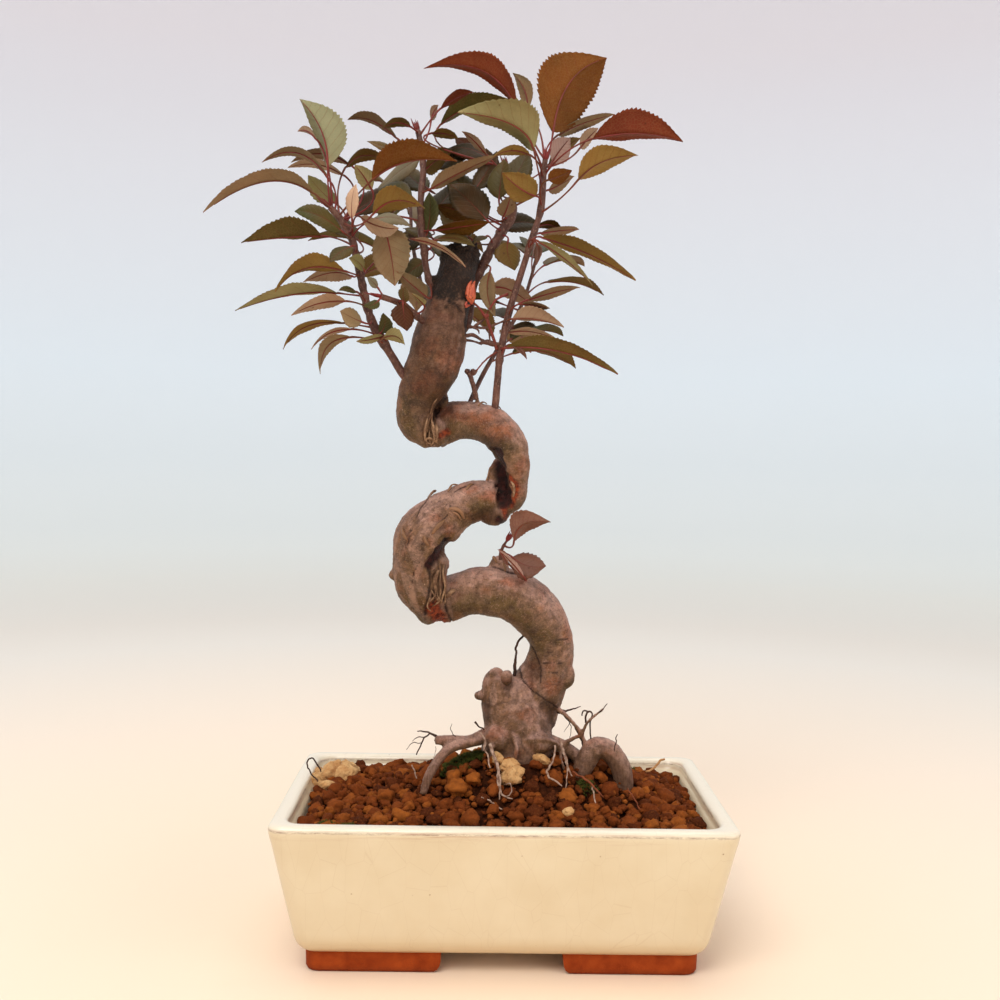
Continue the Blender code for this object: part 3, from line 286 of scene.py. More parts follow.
def math_node(tree, op, a, b=None, clamp=False):
    n = add_node(tree, "Math", {0: a}, operation=op, use_clamp=clamp)
    if b is not None:
        wire(tree, b, n.inputs[1])
    return n.outputs[0]


def mix_color(tree, fac, a, b, blend="MIX"):
    n = add_node(tree, "Mix", data_type="RGBA", blend_type=blend)
    wire(tree, fac, n.inputs["Factor"])
    wire(tree, a, n.inputs[6])
    wire(tree, b, n.inputs[7])
    return n.outputs[2]


def tinge(tree, color, mask, most, over):
    """Lays a colour over another where the mask shows, up to the amount given."""
    return mix_color(tree, math_node(tree, "MULTIPLY", mask, most), color, over)


def ramp(tree, fac, *stops):
    """Colour or grey stops: (position, value)."""
    n = add_node(tree, "ValToRGB", {"Fac": fac})
    els = n.color_ramp.elements
    for i, (pos, value) in enumerate(stops):
        e = els[i] if i < 2 else els.new(pos)
        e.position = pos
        e.color = (*value, 1.0) if isinstance(value, tuple) else (value, value, value, 1.0)
    return n.outputs["Color"]


def attribute(tree, name, out="Fac"):
    return add_node(tree, "Attribute", attribute_name=name).outputs[out]


def noise_value(tree, vector, scale, detail=2.0, rough=0.5):
    n = add_node(tree, "TexNoise", {"Vector": vector, "Scale": scale, "Detail": detail,
                                    "Roughness": rough})
    return n.outputs["Fac"]


def group(name, inputs, outputs, build):
    """Node group with named sockets, built once and reused by several materials."""
    g = bpy.data.node_groups.new(name, "ShaderNodeTree")
    for label, kind, value in inputs:
        s = g.interface.new_socket(label, in_out="INPUT", socket_type=kind)
        if value is not None:
            s.default_value = value
    for label, kind in outputs:
        g.interface.new_socket(label, in_out="OUTPUT", socket_type=kind)
    gi = g.nodes.new("NodeGroupInput")
    go = g.nodes.new("NodeGroupOutput")
    build(g, gi.outputs, lambda label, value: wire(g, value, go.inputs[label]))
    return g


def use_group(tree, g, **values):
    n = tree.nodes.new("ShaderNodeGroup")
    n.node_tree = g
    for key, value in values.items():
        wire(tree, value, n.inputs[key.replace("_", " ")])
    return n.outputs


def between(tree, value, zero, one):
    """Rises evenly from 0 to 1 between two values, or falls where the first is the larger."""
    n = add_node(tree, "MapRange", {"Value": value, "From Min": zero, "From Max": one})
    return n.outputs["Result"]


def build_mottle(g, ins, put):
    n = add_node(g, "TexNoise", {key: ins[key] for key in ("Vector", "Scale", "Detail", "Roughness")})
    put("Mask", between(g, n.outputs["Fac"], ins["Low"], ins["High"]))


def build_cell_dots(g, ins, put):
    cells = add_node(g, "TexVoronoi", {"Vector": ins["Vector"], "Scale": ins["Scale"]})
    put("Dots", between(g, cells.outputs["Distance"], ins["Edge"], ins["Core"]))
    put("Chance", cells.outputs["Color"])


MOTTLE = group("mottle", [("Vector", "NodeSocketVector", None), ("Scale", "NodeSocketFloat", 0.1),
                          ("Low", "NodeSocketFloat", 0.35), ("High", "NodeSocketFloat", 0.65),
                          ("Detail", "NodeSocketFloat", 4.0),
                          ("Roughness", "NodeSocketFloat", 0.55)],
               [("Mask", "NodeSocketFloat")], build_mottle)
CELL_DOTS = group("cell_dots", [("Vector", "NodeSocketVector", None),
                                ("Scale", "NodeSocketFloat", 0.5),
                                ("Core", "NodeSocketFloat", 0.05),
                                ("Edge", "NodeSocketFloat", 0.15)],
                  [("Dots", "NodeSocketFloat"), ("Chance", "NodeSocketColor")], build_cell_dots)


def mottle(tree, vector, scale, lo, hi, detail=4.0, rough=0.55):
    """Soft noise mask, stretched between lo and hi."""
    return use_group(tree, MOTTLE, Vector=vector, Scale=scale, Low=lo, High=hi, Detail=detail,
                     Roughness=rough)["Mask"]


def cell_dots(tree, vector, scale, core, edge):
    """Round dots, one in each cell of a pattern, and the cells' three random values."""
    out = use_group(tree, CELL_DOTS, Vector=vector, Scale=scale, Core=core, Edge=edge)
    return out["Dots"], add_node(tree, "SeparateColor", {0: out["Chance"]}).outputs


def some_dots(tree, vector, scale, core, edge, channel, few, more):
    """The dots of only those cells whose random value is high."""
    dots, chance = cell_dots(tree, vector, scale, core, edge)
    return math_node(tree, "MULTIPLY", dots, between(tree, chance[channel], few, more)), chance


def bump(tree, height, strength, distance, normal=None):
    n = add_node(tree, "Bump", {"Height": height, "Strength": strength, "Distance": distance})
    if normal is not None:
        tree.links.new(normal, n.inputs["Normal"])
    return n.outputs["Normal"]


def object_mm(tree):
    """Object coordinates in millimetres."""
    at = add_node(tree, "TexCoord").outputs["Object"]
    n = add_node(tree, "VectorMath", {0: at, 1: (1000.0, 1000.0, 1000.0)}, operation="MULTIPLY")
    return n.outputs[0]


def stretched(tree, vector, scale):
    return add_node(tree, "VectorMath", {0: vector, 1: scale}, operation="MULTIPLY").outputs[0]


# Camera, light and floor

def make_camera():
    cam = bpy.data.cameras.new("camera")
    cam.lens = 41.76
    cam.sensor_width = 36.0
    cam.clip_start = 0.01
    cam.clip_end = 50.0
    ob = bpy.data.objects.new("camera", cam)
    bpy.context.scene.collection.objects.link(ob)
    ob.location = place(EYE)
    turn = AHEAD.to_track_quat("-Z", "Y").to_matrix().to_4x4() @ Matrix.Rotation(ROLL, 4, "Z")
    ob.rotation_euler = turn.to_euler()
    bpy.context.scene.camera = ob


def area_light(name, at, aim, size, watts, color=(1.0, 1.0, 1.0)):
    li = bpy.data.lights.new(name, "AREA")
    li.shape = "RECTANGLE"
    li.size, li.size_y = size
    li.energy = watts
    li.color = color
    ob = bpy.data.objects.new(name, li)
    bpy.context.scene.collection.objects.link(ob)
    ob.location = place(at)
    ob.rotation_euler = (place(aim) - place(at)).to_track_quat("-Z", "Y").to_euler()


def make_light():
    """Large soft lamps from the upper left, round a bright pale room."""
    bpy.context.scene.view_settings.view_transform = "Standard"
    world = bpy.data.worlds.new("studio")
    bpy.context.scene.world = world
    world.use_nodes = True
    back = world.node_tree.nodes["Background"]
    back.inputs["Color"].default_value = (0.93, 0.965, 1.0, 1.0)
    back.inputs["Strength"].default_value = 0.42
    area_light("key", (-420, -900, 1250), (0, 0, 180), (0.8, 0.7), 13.5, (1.0, 0.96, 0.91))
    area_light("fill", (900, -600, 500), (0, 0, 220), (0.9, 0.9), 3.5, (1.0, 0.97, 0.93))
    area_light("top", (-100, 200, 1400), (0, 0, 200), (1.3, 1.0), 8.0, (0.97, 0.98, 1.0))


def make_floor():
    """Pale sweep: flat underfoot, rising far away on every side."""
    profile = [(0.0, 0.0), (500.0, 0.0), (1300.0, 0.0), (1600.0, 15.0), (1850.0, 80.0),
               (2050.0, 220.0), (2180.0, 480.0), (2230.0, 900.0), (2250.0, 1800.0)]
    n = 96
    points, faces = [(0, 0, 0)], []
    for r, z in profile[1:]:
        for k in range(n):
            a = 2 * math.pi * k / n
            points.append((r * math.cos(a), r * math.sin(a), z - 0.02))
    for k in range(n):
        faces.append((0, 1 + k, 1 + (k + 1) % n))
    for j in range(len(profile) - 2):
        for k in range(n):
            a, b = 1 + j * n + k, 1 + j * n + (k + 1) % n
            faces.append((a, a + n, b + n, b))
    me = bpy.data.meshes.new("floor")
    me.from_pydata([place(p) for p in points], [], faces)
    me.polygons.foreach_set("use_smooth", [True] * len(faces))
    ob = bpy.data.objects.new("floor", me)
    bpy.context.scene.collection.objects.link(ob)
    sh = Shader("floor_paper")
    at = object_mm(sh.tree)
    far = add_node(sh.tree, "VectorMath", {0: at}, operation="LENGTH").outputs["Value"]
    tone = ramp(sh.tree, math_node(sh.tree, "DIVIDE", far, 2600.0),
                (0.08, rgb(246, 222, 196)), (0.34, rgb(246, 238, 226)))
    tone = mix_color(sh.tree, ramp(sh.tree, math_node(sh.tree, "DIVIDE", far, 2600.0),
                                   (0.6, 0.0), (0.95, 1.0)), tone, rgb(232, 236, 240))
    # the far sweep glows a little, bluish low down and pinkish high up, as a lit backdrop does
    height = math_node(sh.tree, "DIVIDE", add_node(sh.tree, "SeparateXYZ", {0: at}).outputs["Z"],
                       1400.0)
    glow = ramp(sh.tree, height, (0.0, (0.05, 0.10, 0.115)), (0.3, (0.085, 0.145, 0.195)),
                (0.85, (0.155, 0.095, 0.10)))
    far_off = ramp(sh.tree, math_node(sh.tree, "DIVIDE", far, 2600.0), (0.42, 0.0), (0.66, 1.0))
    sh.set(Base_Color=tone, Roughness=0.7, Emission_Color=glow, Emission_Strength=far_off)
    # the glow is too dim and wide to be worth aiming rays at, as at a lamp
    sh.mat.cycles.emission_sampling = "NONE"
    me.materials.append(sh.mat)


# Pot

def round_ring(hx, hy, r, z, steps=10, wave=0.0):
    pts = []
    for cx, cy, a0 in ((hx - r, hy - r, 0), (-hx + r, hy - r, 90),
                       (-hx + r, -hy + r, 180), (hx - r, -hy + r, 270)):
        for i in range(steps + 1):
            a = math.radians(a0 + 90.0 * i / steps)
            pts.append(Vector((cx + r * math.cos(a), cy + r * math.sin(a), z)))
    full = []
    for i, p in enumerate(pts):
        q = pts[(i + 1) % len(pts)]
        full.append(p)
        gap = (q - p).length
        if gap > 12.0:
            m = 20 if gap > 150 else 13
            full += [p.lerp(q, k / m) for k in range(1, m)]
    if wave:
        for p in full:
            d = Vector((p.x / hx, p.y / hy, 0)).normalized()
            p += d * wave * noise.noise(Vector((p.x * 0.018, p.y * 0.02, z * 0.03)))
    return full


def make_pot(glaze, clay):
    def outer(z, inset=0.0, wave=0.35):
        t = (z - BASE_Z) / (RIM_Z - BASE_Z)
        hx = BASE_HALF_X + (RIM_HALF_X - BASE_HALF_X) * t - inset
        hy = BASE_HALF_Y + (RIM_HALF_Y - BASE_HALF_Y) * t - inset
        return round_ring(hx, hy, max(CORNER_OUT - inset * 0.6, 2.0), z, wave=wave)

    def inner(z, extra=0.0):
        t = (min(z, RIM_Z) - BASE_Z) / (RIM_Z - BASE_Z)
        hx = BASE_HALF_X + (RIM_HALF_X - BASE_HALF_X) * t - WALL - extra
        hy = BASE_HALF_Y + (RIM_HALF_Y - BASE_HALF_Y) * t - WALL - extra
        return round_ring(hx, hy, CORNER_IN, z, wave=0.3)

    rings = [outer(BASE_Z, 6.8), outer(BASE_Z + 0.35, 5.0), outer(BASE_Z + 1.2, 3.3),
             outer(BASE_Z + 2.3, 2.0), outer(BASE_Z + 3.9, 1.0), outer(BASE_Z + 6.2, 0.25)]
    rings += [outer(BASE_Z + 8.5 + 5.2 * k, 0.0) for k in range(10)]
    rings += [outer(RIM_Z - 6.5, -0.15), outer(RIM_Z - 4.2, -0.1), outer(RIM_Z - 2.6, 0.05),
              outer(RIM_Z - 1.3, 0.5), outer(RIM_Z - 0.45, 1.3), outer(RIM_Z, 2.6),
              outer(RIM_Z + 0.1, 4.2)]
    rings += [inner(RIM_Z + 0.05, -3.0), inner(RIM_Z - 0.25, -2.1), inner(RIM_Z - 1.0, -1.45),
              inner(RIM_Z - 2.4, -1.25), inner(RIM_Z - 4.0, -1.25), inner(RIM_Z - 5.0, -0.9),
              inner(RIM_Z - 5.8, -0.2), inner(RIM_Z - 7.5, 0.0), inner(40.0, 0.0),
              inner(FLOOR_Z + 4.5, 0.0), inner(FLOOR_Z + 1.5, 1.2), inner(FLOOR_Z, 4.0)]
    body = loose_object("pot_body", *loft(rings))
    for s in (-1, 1):
        pts = [((Vector((s * DRAIN_X, 0, BASE_Z - 4.0 + 14.0 * k))), DRAIN_R) for k in range(2)]
        boolean(body, loose_object("hole", *tube(pts, 40)), "DIFFERENCE")
    finish_hard(body, glaze, 35)
    settle(body, ("pot",))

    hx, hy = BASE_HALF_X - FOOT_INSET, BASE_HALF_Y - FOOT_INSET
    foot = loose_object("pot_feet", *loft([
        round_ring(hx - 1.3, hy - 1.3, 6, 0.0, 6), round_ring(hx - 0.5, hy - 0.5, 6, 0.5, 6),
        round_ring(hx, hy, 6, 1.8, 6), round_ring(hx + 0.2, hy + 0.2, 6, BASE_Z + 1.2, 6)]))
    boolean(foot, loose_object("inside", *loft([
        round_ring(hx - FOOT_WIDE, hy - FOOT_WIDE, 4, -2.0, 6),
        round_ring(hx - FOOT_WIDE, hy - FOOT_WIDE, 4, BASE_Z + 3, 6)])), "DIFFERENCE")
    for half, along in ((FOOT_GAP_X, 0), (FOOT_GAP_Y, 1)):
        prof = [(half + 7.0, -2.0), (half + 5.0, 0.0), (half + 3.0, 0.6), (half + 1.4, 1.8),
                (half + 0.5, 3.6), (half, 6.0), (half, BASE_Z + 3)]
        pts = [(-x, z) for x, z in prof] + [(x, z) for x, z in reversed(prof)]
        ends = [[(x, s, z) if along == 0 else (s, x, z) for x, z in pts] for s in (-150.0, 150.0)]
        boolean(foot, loose_object("gap", *loft(ends)), "DIFFERENCE")
    finish_hard(foot, clay, 40)
    settle(foot, ("pot",))


def finish_hard(ob, material, angle):
    """Soft shading with crisp edges above the angle."""
    ob.data.materials.clear()
    ob.data.materials.append(material)
    bm = bmesh.new()
    bm.from_mesh(ob.data)
    limit = math.radians(angle)
    for f in bm.faces:
        f.smooth = True
    for e in bm.edges:
        e.smooth = not (len(e.link_faces) == 2 and e.calc_face_angle(0.0) > limit)
    bm.to_mesh(ob.data)
    bm.free()


def glaze_material():
    sh = Shader("cream_glaze")
    t = sh.tree
    at = object_mm(t)
    z = add_node(t, "SeparateXYZ", {0: at}).outputs["Z"]
    high = math_node(t, "DIVIDE", z, 80.0)
    soft = mottle(t, at, 0.03, 0.35, 0.65)
    color = mix_color(t, soft, rgb(214, 196, 162), rgb(220, 204, 172))
    # glaze pooled a little darker low down
    pooled = ramp(t, high, (0.11, 1.0), (0.26, 0.0))
    color = mix_color(t, pooled, color, rgb(204, 178, 136), "MIX")
    # painted highlight: the top of the rim is lightened where it faces the light from above
    rim = ramp(t, high, (0.885, 0.0), (0.93, 1.0))
    color = mix_color(t, rim, color, rgb(236, 224, 202))
    # faint upright crackle
    crack = add_node(t, "TexVoronoi", {"Vector": stretched(t, at, (0.11, 0.11, 0.045)),
                                       "Scale": 1.0}, feature="DISTANCE_TO_EDGE").outputs["Distance"]
    line = ramp(t, crack, (0.0, 1.0), (0.012, 0.0))
    line = math_node(t, "MULTIPLY", line, 0.16)
    color = mix_color(t, line, color, rgb(176, 140, 100))
    # pinholes and iron specks, only in some cells
    speck, _ = some_dots(t, at, 0.14, 0.02, 0.075, 0, 0.78, 0.80)
    color = tinge(t, color, speck, 0.75, rgb(142, 98, 60))
    # soil dust smeared along the rim
    band = ramp(t, high, (0.84, 0.0), (0.89, 1.0))
    band = math_node(t, "MULTIPLY", band,
                     ramp(t, high, (0.905, 1.0), (0.925, 0.0)))
    smear = mottle(t, stretched(t, at, (0.03, 0.03, 0.75)), 1.0, 0.5, 0.72, 6.0, 0.7)
    dirt = math_node(t, "MULTIPLY", band, smear)
    color = tinge(t, color, dirt, 0.75, rgb(176, 124, 96))
    # worn brown line where the rim turns down into the side
    edge = ramp(t, high, (0.888, 0.0), (0.893, 1.0), (0.899, 1.0),
                (0.904, 0.0))
    worn = mottle(t, stretched(t, at, (0.22, 0.22, 0.9)), 1.0, 0.42, 0.62, 6.0, 0.8)
    worn = math_node(t, "MULTIPLY", math_node(t, "MULTIPLY", edge, worn), 0.75)
    color = mix_color(t, worn, color, rgb(128, 92, 78))
    waves = noise_value(t, at, 0.06, 2.0)
    sh.set(Base_Color=color, Coat_Weight=0.35, Coat_Roughness=0.12,
           Roughness=mix_color(t, soft, (0.30, 0.30, 0.30), (0.38, 0.38, 0.38)))
    nrm = bump(t, waves, 0.35, 0.0012)
    sh.put("Normal", bump(t, speck, 0.5, 0.0003, nrm))
    return sh.mat


def clay_material():
    sh = Shader("bare_clay_foot")
    t = sh.tree
    at = object_mm(t)
    z = add_node(t, "SeparateXYZ", {0: at}).outputs["Z"]
    color = mix_color(t, mottle(t, at, 0.12, 0.35, 0.7), rgb(132, 50, 14), rgb(160, 68, 24))
    low = ramp(t, math_node(t, "DIVIDE", z, 10.0), (0.0, 1.0), (0.35, 0.0))
    color = tinge(t, color, low, 0.55, rgb(96, 44, 22))
    grit = noise_value(t, at, 1.3, 6.0)
    sh.set(Base_Color=color, Roughness=0.72, Specular_IOR_Level=0.1,
           Normal=bump(t, grit, 0.5, 0.0004))
    return sh.mat


# Trunk, with the same limbs as the solids

# seen x, seen z, real depth y, seen radius
LIMBS = (
    # stump in the soil, up to the block at the first fold
    ((6, 60, 12, 12), (6, 72, 12, 15), (7, 86, 11, 17.5), (7, 96, 10, 18.3), (7, 106, 10, 17.4),
     (4, 118, 9, 16.2), (2, 127, 8, 13.6), (2.5, 132, 8, 10.5)),
    # right limb, rising behind the stump and folding over to the left
    ((15, 108, 13, 11), (17, 125, 13, 14), (22, 137, 12, 11.8), (23, 150, 11, 11.3),
     (17, 163, 8, 13), (5, 173, 4, 13.2), (-8, 175.5, 2, 12.4), (-18, 175, 4, 11.5),
     (-28, 172, 6, 12), (-36, 169, 6, 11.5)),
    # left loop
    ((-36, 169, 3, 11), (-43, 178, -3, 12.6), (-45, 190, -5, 13.8), (-43, 203, -6, 13.8),
     (-34, 212, -5, 12.8), (-24, 219, -4, 10.6), (-14, 222.5, -3, 9.6), (-6, 223, -1, 8.6)),
    # rising band at the right fold, then the bend across to the left
    ((-3, 221, -2, 6.5), (2.5, 223, -5, 6.4), (4, 232, -6, 6.2), (3, 240, -6, 7.6),
     (0, 249, -5, 9.4), (-5, 256.5, -3, 10), (-14, 261.5, 0, 9.8), (-24, 262.5, 3, 9.6),
     (-32, 261, 5, 10.2), (-39, 257.5, 5, 10)),
    # upper limb
    ((-39, 257, 3, 9.5), (-45, 260, -2, 9.8), (-48, 267, -5, 9.8), (-46.3, 275, -7, 10.8),
     (-41.8, 284, -8, 12.8), (-38.3, 293, -8, 13.8), (-36.4, 303, -8, 13.1),
     (-34, 313, -7, 11.6), (-31.8, 323, -6, 10.4), (-29, 333, -5, 10), (-27, 342, -3, 9.5),
     (-26, 348, -2, 9)),
)

# small bodies: seen x, z, depth y, radii (x, y, z)
LUMPS = (
    (-6.5, 215.5, -4, 7.5, 7, 6.8), (-4, 234, 3, 6.5, 6, 11), (-12, 122, 6, 3.6, 3, 2.6),
    (-5, 133, 4, 4, 4, 3.2), (-57, 183, -4, 3.4, 3, 3.2), (7.6, 238.5, -7, 3, 3, 5),
    (-33.5, 189, -2, 3.4, 3, 5), (-38, 166.5, -1, 9, 9, 8.6), (-28, 352, -2, 2.2, 2.2, 4),
    (-21, 350, -3, 2.6, 2.6, 3), (-40, 333, -8, 3, 3, 2.6), (-4.5, 188, 3, 5, 4.5, 6),
    (1, 131, -7, 3.2, 2, 4.2), (-40, 255.8, -1, 10, 8, 8.2), (-36, 273, -6, 5, 5, 5),
    (31, 133, 10, 5, 6, 7), (-3, 100, -4, 7, 6, 7), (18, 98, -3, 8, 6, 5.5),
)

# surface roots: seen x, z, y, r
ROOTS = (
    ((-4, 104, 2, 4.5), (-16, 98.5, -2, 3.2), (-27, 98.5, -6, 2.6), (-35, 98.3, -9, 2.3)),
    ((-12, 99, -2, 3), (-25, 95.5, -8, 2.8), (-32, 90, -12, 2.5), (-38, 80, -16, 2.4),
     (-41, 70, -18, 2.0)),
    ((-7, 101, -7, 2.6), (-5.5, 92, -11, 1.9), (-2.5, 83, -14, 1.5), (-2, 72, -17, 1.3),
     (-3, 64, -19, 1.2)),
    ((4, 104, -6, 3.5), (6.5, 95, -10, 2.6), (6, 89, -11, 2.0), (5, 80, -8, 1.6)),
    ((12, 99, -7, 2.6), (20, 99.5, -8, 2.4), (28, 97, -6, 2.2), (30, 88, -6, 1.7),
     (34, 79, -7, 1.4)),
    ((20, 100, 0, 4), (34, 94, 2, 3.4), (42, 84, 4, 3.8), (39, 70, 5, 3)),
    ((38, 76, -2, 3.4), (41.5, 86, -3, 4), (46, 94.5, -3, 4.3), (51.6, 95.6, -3, 4.2),
     (57, 91.5, -3, 4.2), (61, 84, -3, 4), (63, 73, -2, 3.4)),
    ((30, 97, 0, 1.6), (36, 100.5, -2, 1.1), (40, 102.5, -3, 1.0), (43, 109, -4, 0.9),
     (51, 116, -4, 0.8)),
    ((27, 116, 3, 1.6), (33, 111, 0, 1.1), (40, 102.5, -3, 1.0), (43, 93, -4, 0.9)),
    ((4, 92, 24, 5), (12, 80, 32, 4), (18, 70, 38, 3)),
    ((18, 88, 14, 6), (32, 76, 20, 4.5), (42, 68, 24, 3)),
)
FRONT_ROOTS = (2, 3, 4)
ARCH_ROOT = 6


# marks on the bark, in the photograph's frame: kind, half width in mm, depth in mm, line of spots.
# Creases and hollows are also darkened with painted shade
MARKS = (
    ("crease", 1.4, 1.8, ((447, 396), (438, 408), (433, 421), (429, 436))),
    ("torn", 3.6, 0.9, ((429, 424), (430, 436), (432, 444))),
    ("wound", 2.2, 0.6, ((441, 436), (447, 432))),
    ("hollow", 3.6, 2.6, ((495, 454), (499, 470), (503, 488), (505, 503))),
    ("wound", 2.0, 0.8, ((510, 479), (516, 486), (515, 496), (511, 505))),
    ("wound", 1.6, 0.5, ((504, 508), (506, 518))),
    ("hollow", 2.0, 0.7, ((499, 520), (504, 524))),
    ("hollow", 2.7, 2.4, ((447, 543), (439, 555), (430, 565))),
    ("torn", 2.6, 0.9, ((441, 567), (436, 582), (436, 600))),
    ("wound", 4.2, 1.2, ((434, 609), (441, 622))),
    ("crease", 0.7, 1.0, ((429, 566), (431, 583), (427, 603), (425, 614))),
    ("crease", 0.5, 0.8, ((444, 570), (444, 596), (447, 612), (452, 622))),
    ("crease", 0.35, 0.5, ((448, 514), (440, 524))),
    ("crease", 0.3, 0.4, ((411, 530), (409, 541), (406, 548))),
    ("crease", 0.3, 0.4, ((447, 505), (458, 510))),
    ("crease", 0.3, 0.4, ((466, 487), (455, 492))),
    ("crease", 0.3, 0.4, ((428, 498), (420, 508), (416, 518))),
    ("crease", 0.3, 0.4, ((420, 560), (414, 572), (412, 584))),
    ("crease", 0.5, 0.6, ((492, 566), (506, 571), (520, 574))),
    ("crease", 0.5, 0.9, ((518, 666), (522, 679), (534, 692), (547, 701), (557, 707))),
    ("crease", 0.35, 0.5, ((530, 645), (536, 655), (541, 668), (541, 682))),
    ("crease", 0.22, 0.3, ((541, 651), (551, 652), (563, 651))),
    ("crease", 0.22, 0.3, ((543, 663), (556, 664), (566, 662))),
    ("crease", 0.22, 0.3, ((545, 672), (558, 673))),
    ("crease", 0.2, 0.3, ((550, 641), (568, 639))),
    ("crease", 0.2, 0.3, ((546, 684), (561, 682))),
    ("torn", 1.6, 0.6, ((469, 290), (467, 300))),
    ("crease", 0.4, 0.6, ((444, 300), (455, 303), (463, 312))),
)
# patches on the bark, in the photograph's frame: kind, x, y, half width, half height. Ruddy patches are
# colour, olive ones colour with some painted shade, shade patches painted shade, and the near-black
# ones dark old wood with painted shade under the crown
PATCHES = (
    ("ruddy", 452, 362, 18, 22), ("ruddy", 430, 386, 16, 18), ("ruddy", 478, 418, 28, 9),
    ("ruddy", 497, 432, 22, 9), ("ruddy", 443, 412, 9, 8), ("ruddy", 450, 532, 12, 9),
    ("ruddy", 436, 542, 9, 6), ("ruddy", 492, 497, 14, 9), ("ruddy", 512, 582, 14, 6),
    ("ruddy", 470, 488, 12, 6), ("ruddy", 455, 618, 12, 8), ("ruddy", 553, 686, 12, 12),
    ("ruddy", 495, 733, 14, 8), ("olive", 412, 412, 12, 22), ("olive", 455, 430, 16, 10),
    ("olive", 500, 448, 22, 9), ("olive", 482, 506, 18, 8), ("olive", 440, 540, 8, 10),
    ("olive", 500, 606, 34, 16), ("olive", 470, 602, 16, 10), ("olive", 535, 640, 22, 18),
    ("near_black_and_shade", 452, 262, 38, 46), ("near_black_and_shade", 468, 318, 4, 24), ("shade", 507, 683, 8, 10),
    ("shade", 438, 322, 48, 56), ("shade", 430, 388, 40, 44), ("shade", 484, 446, 34, 12),
    ("shade", 549, 707, 12, 12), ("shade", 535, 672, 10, 18), ("shade", 486, 515, 20, 10),
    ("shade", 548, 728, 9, 16), ("shade", 486, 712, 5, 18), ("shade", 436, 612, 16, 12),
)


def limb_squash(seed, amount):
    rng = random.Random(seed)
    ph = [rng.uniform(0, 6.28) for _ in range(6)]

    def f(i, a):
        s = math.sin(2 * a + ph[0] + 0.5 * i) * 0.55 + math.sin(3 * a + ph[1] - 0.7 * i) * 0.45
        s += math.sin(0.9 * i + ph[2]) * 0.35
        return 1.0 + amount * s
    return f


def lump_points(x, z, y, rx, ry, rz):
    c = seen(x, z, y)
    k = scale_at(y)
    rings = []
    for i in range(1, 14):
        b = math.pi * i / 14 - math.pi / 2
        rings.append([(c.x + rx * k * math.cos(b) * math.cos(a),
                       c.y + ry * k * math.cos(b) * math.sin(a),
                       c.z + rz * k * math.sin(b))
                      for a in [2 * math.pi * j / 24 for j in range(24)]])
    return loft(rings)


# Shoots, with the same stems and leaves as the solids and a few more leaves far inside

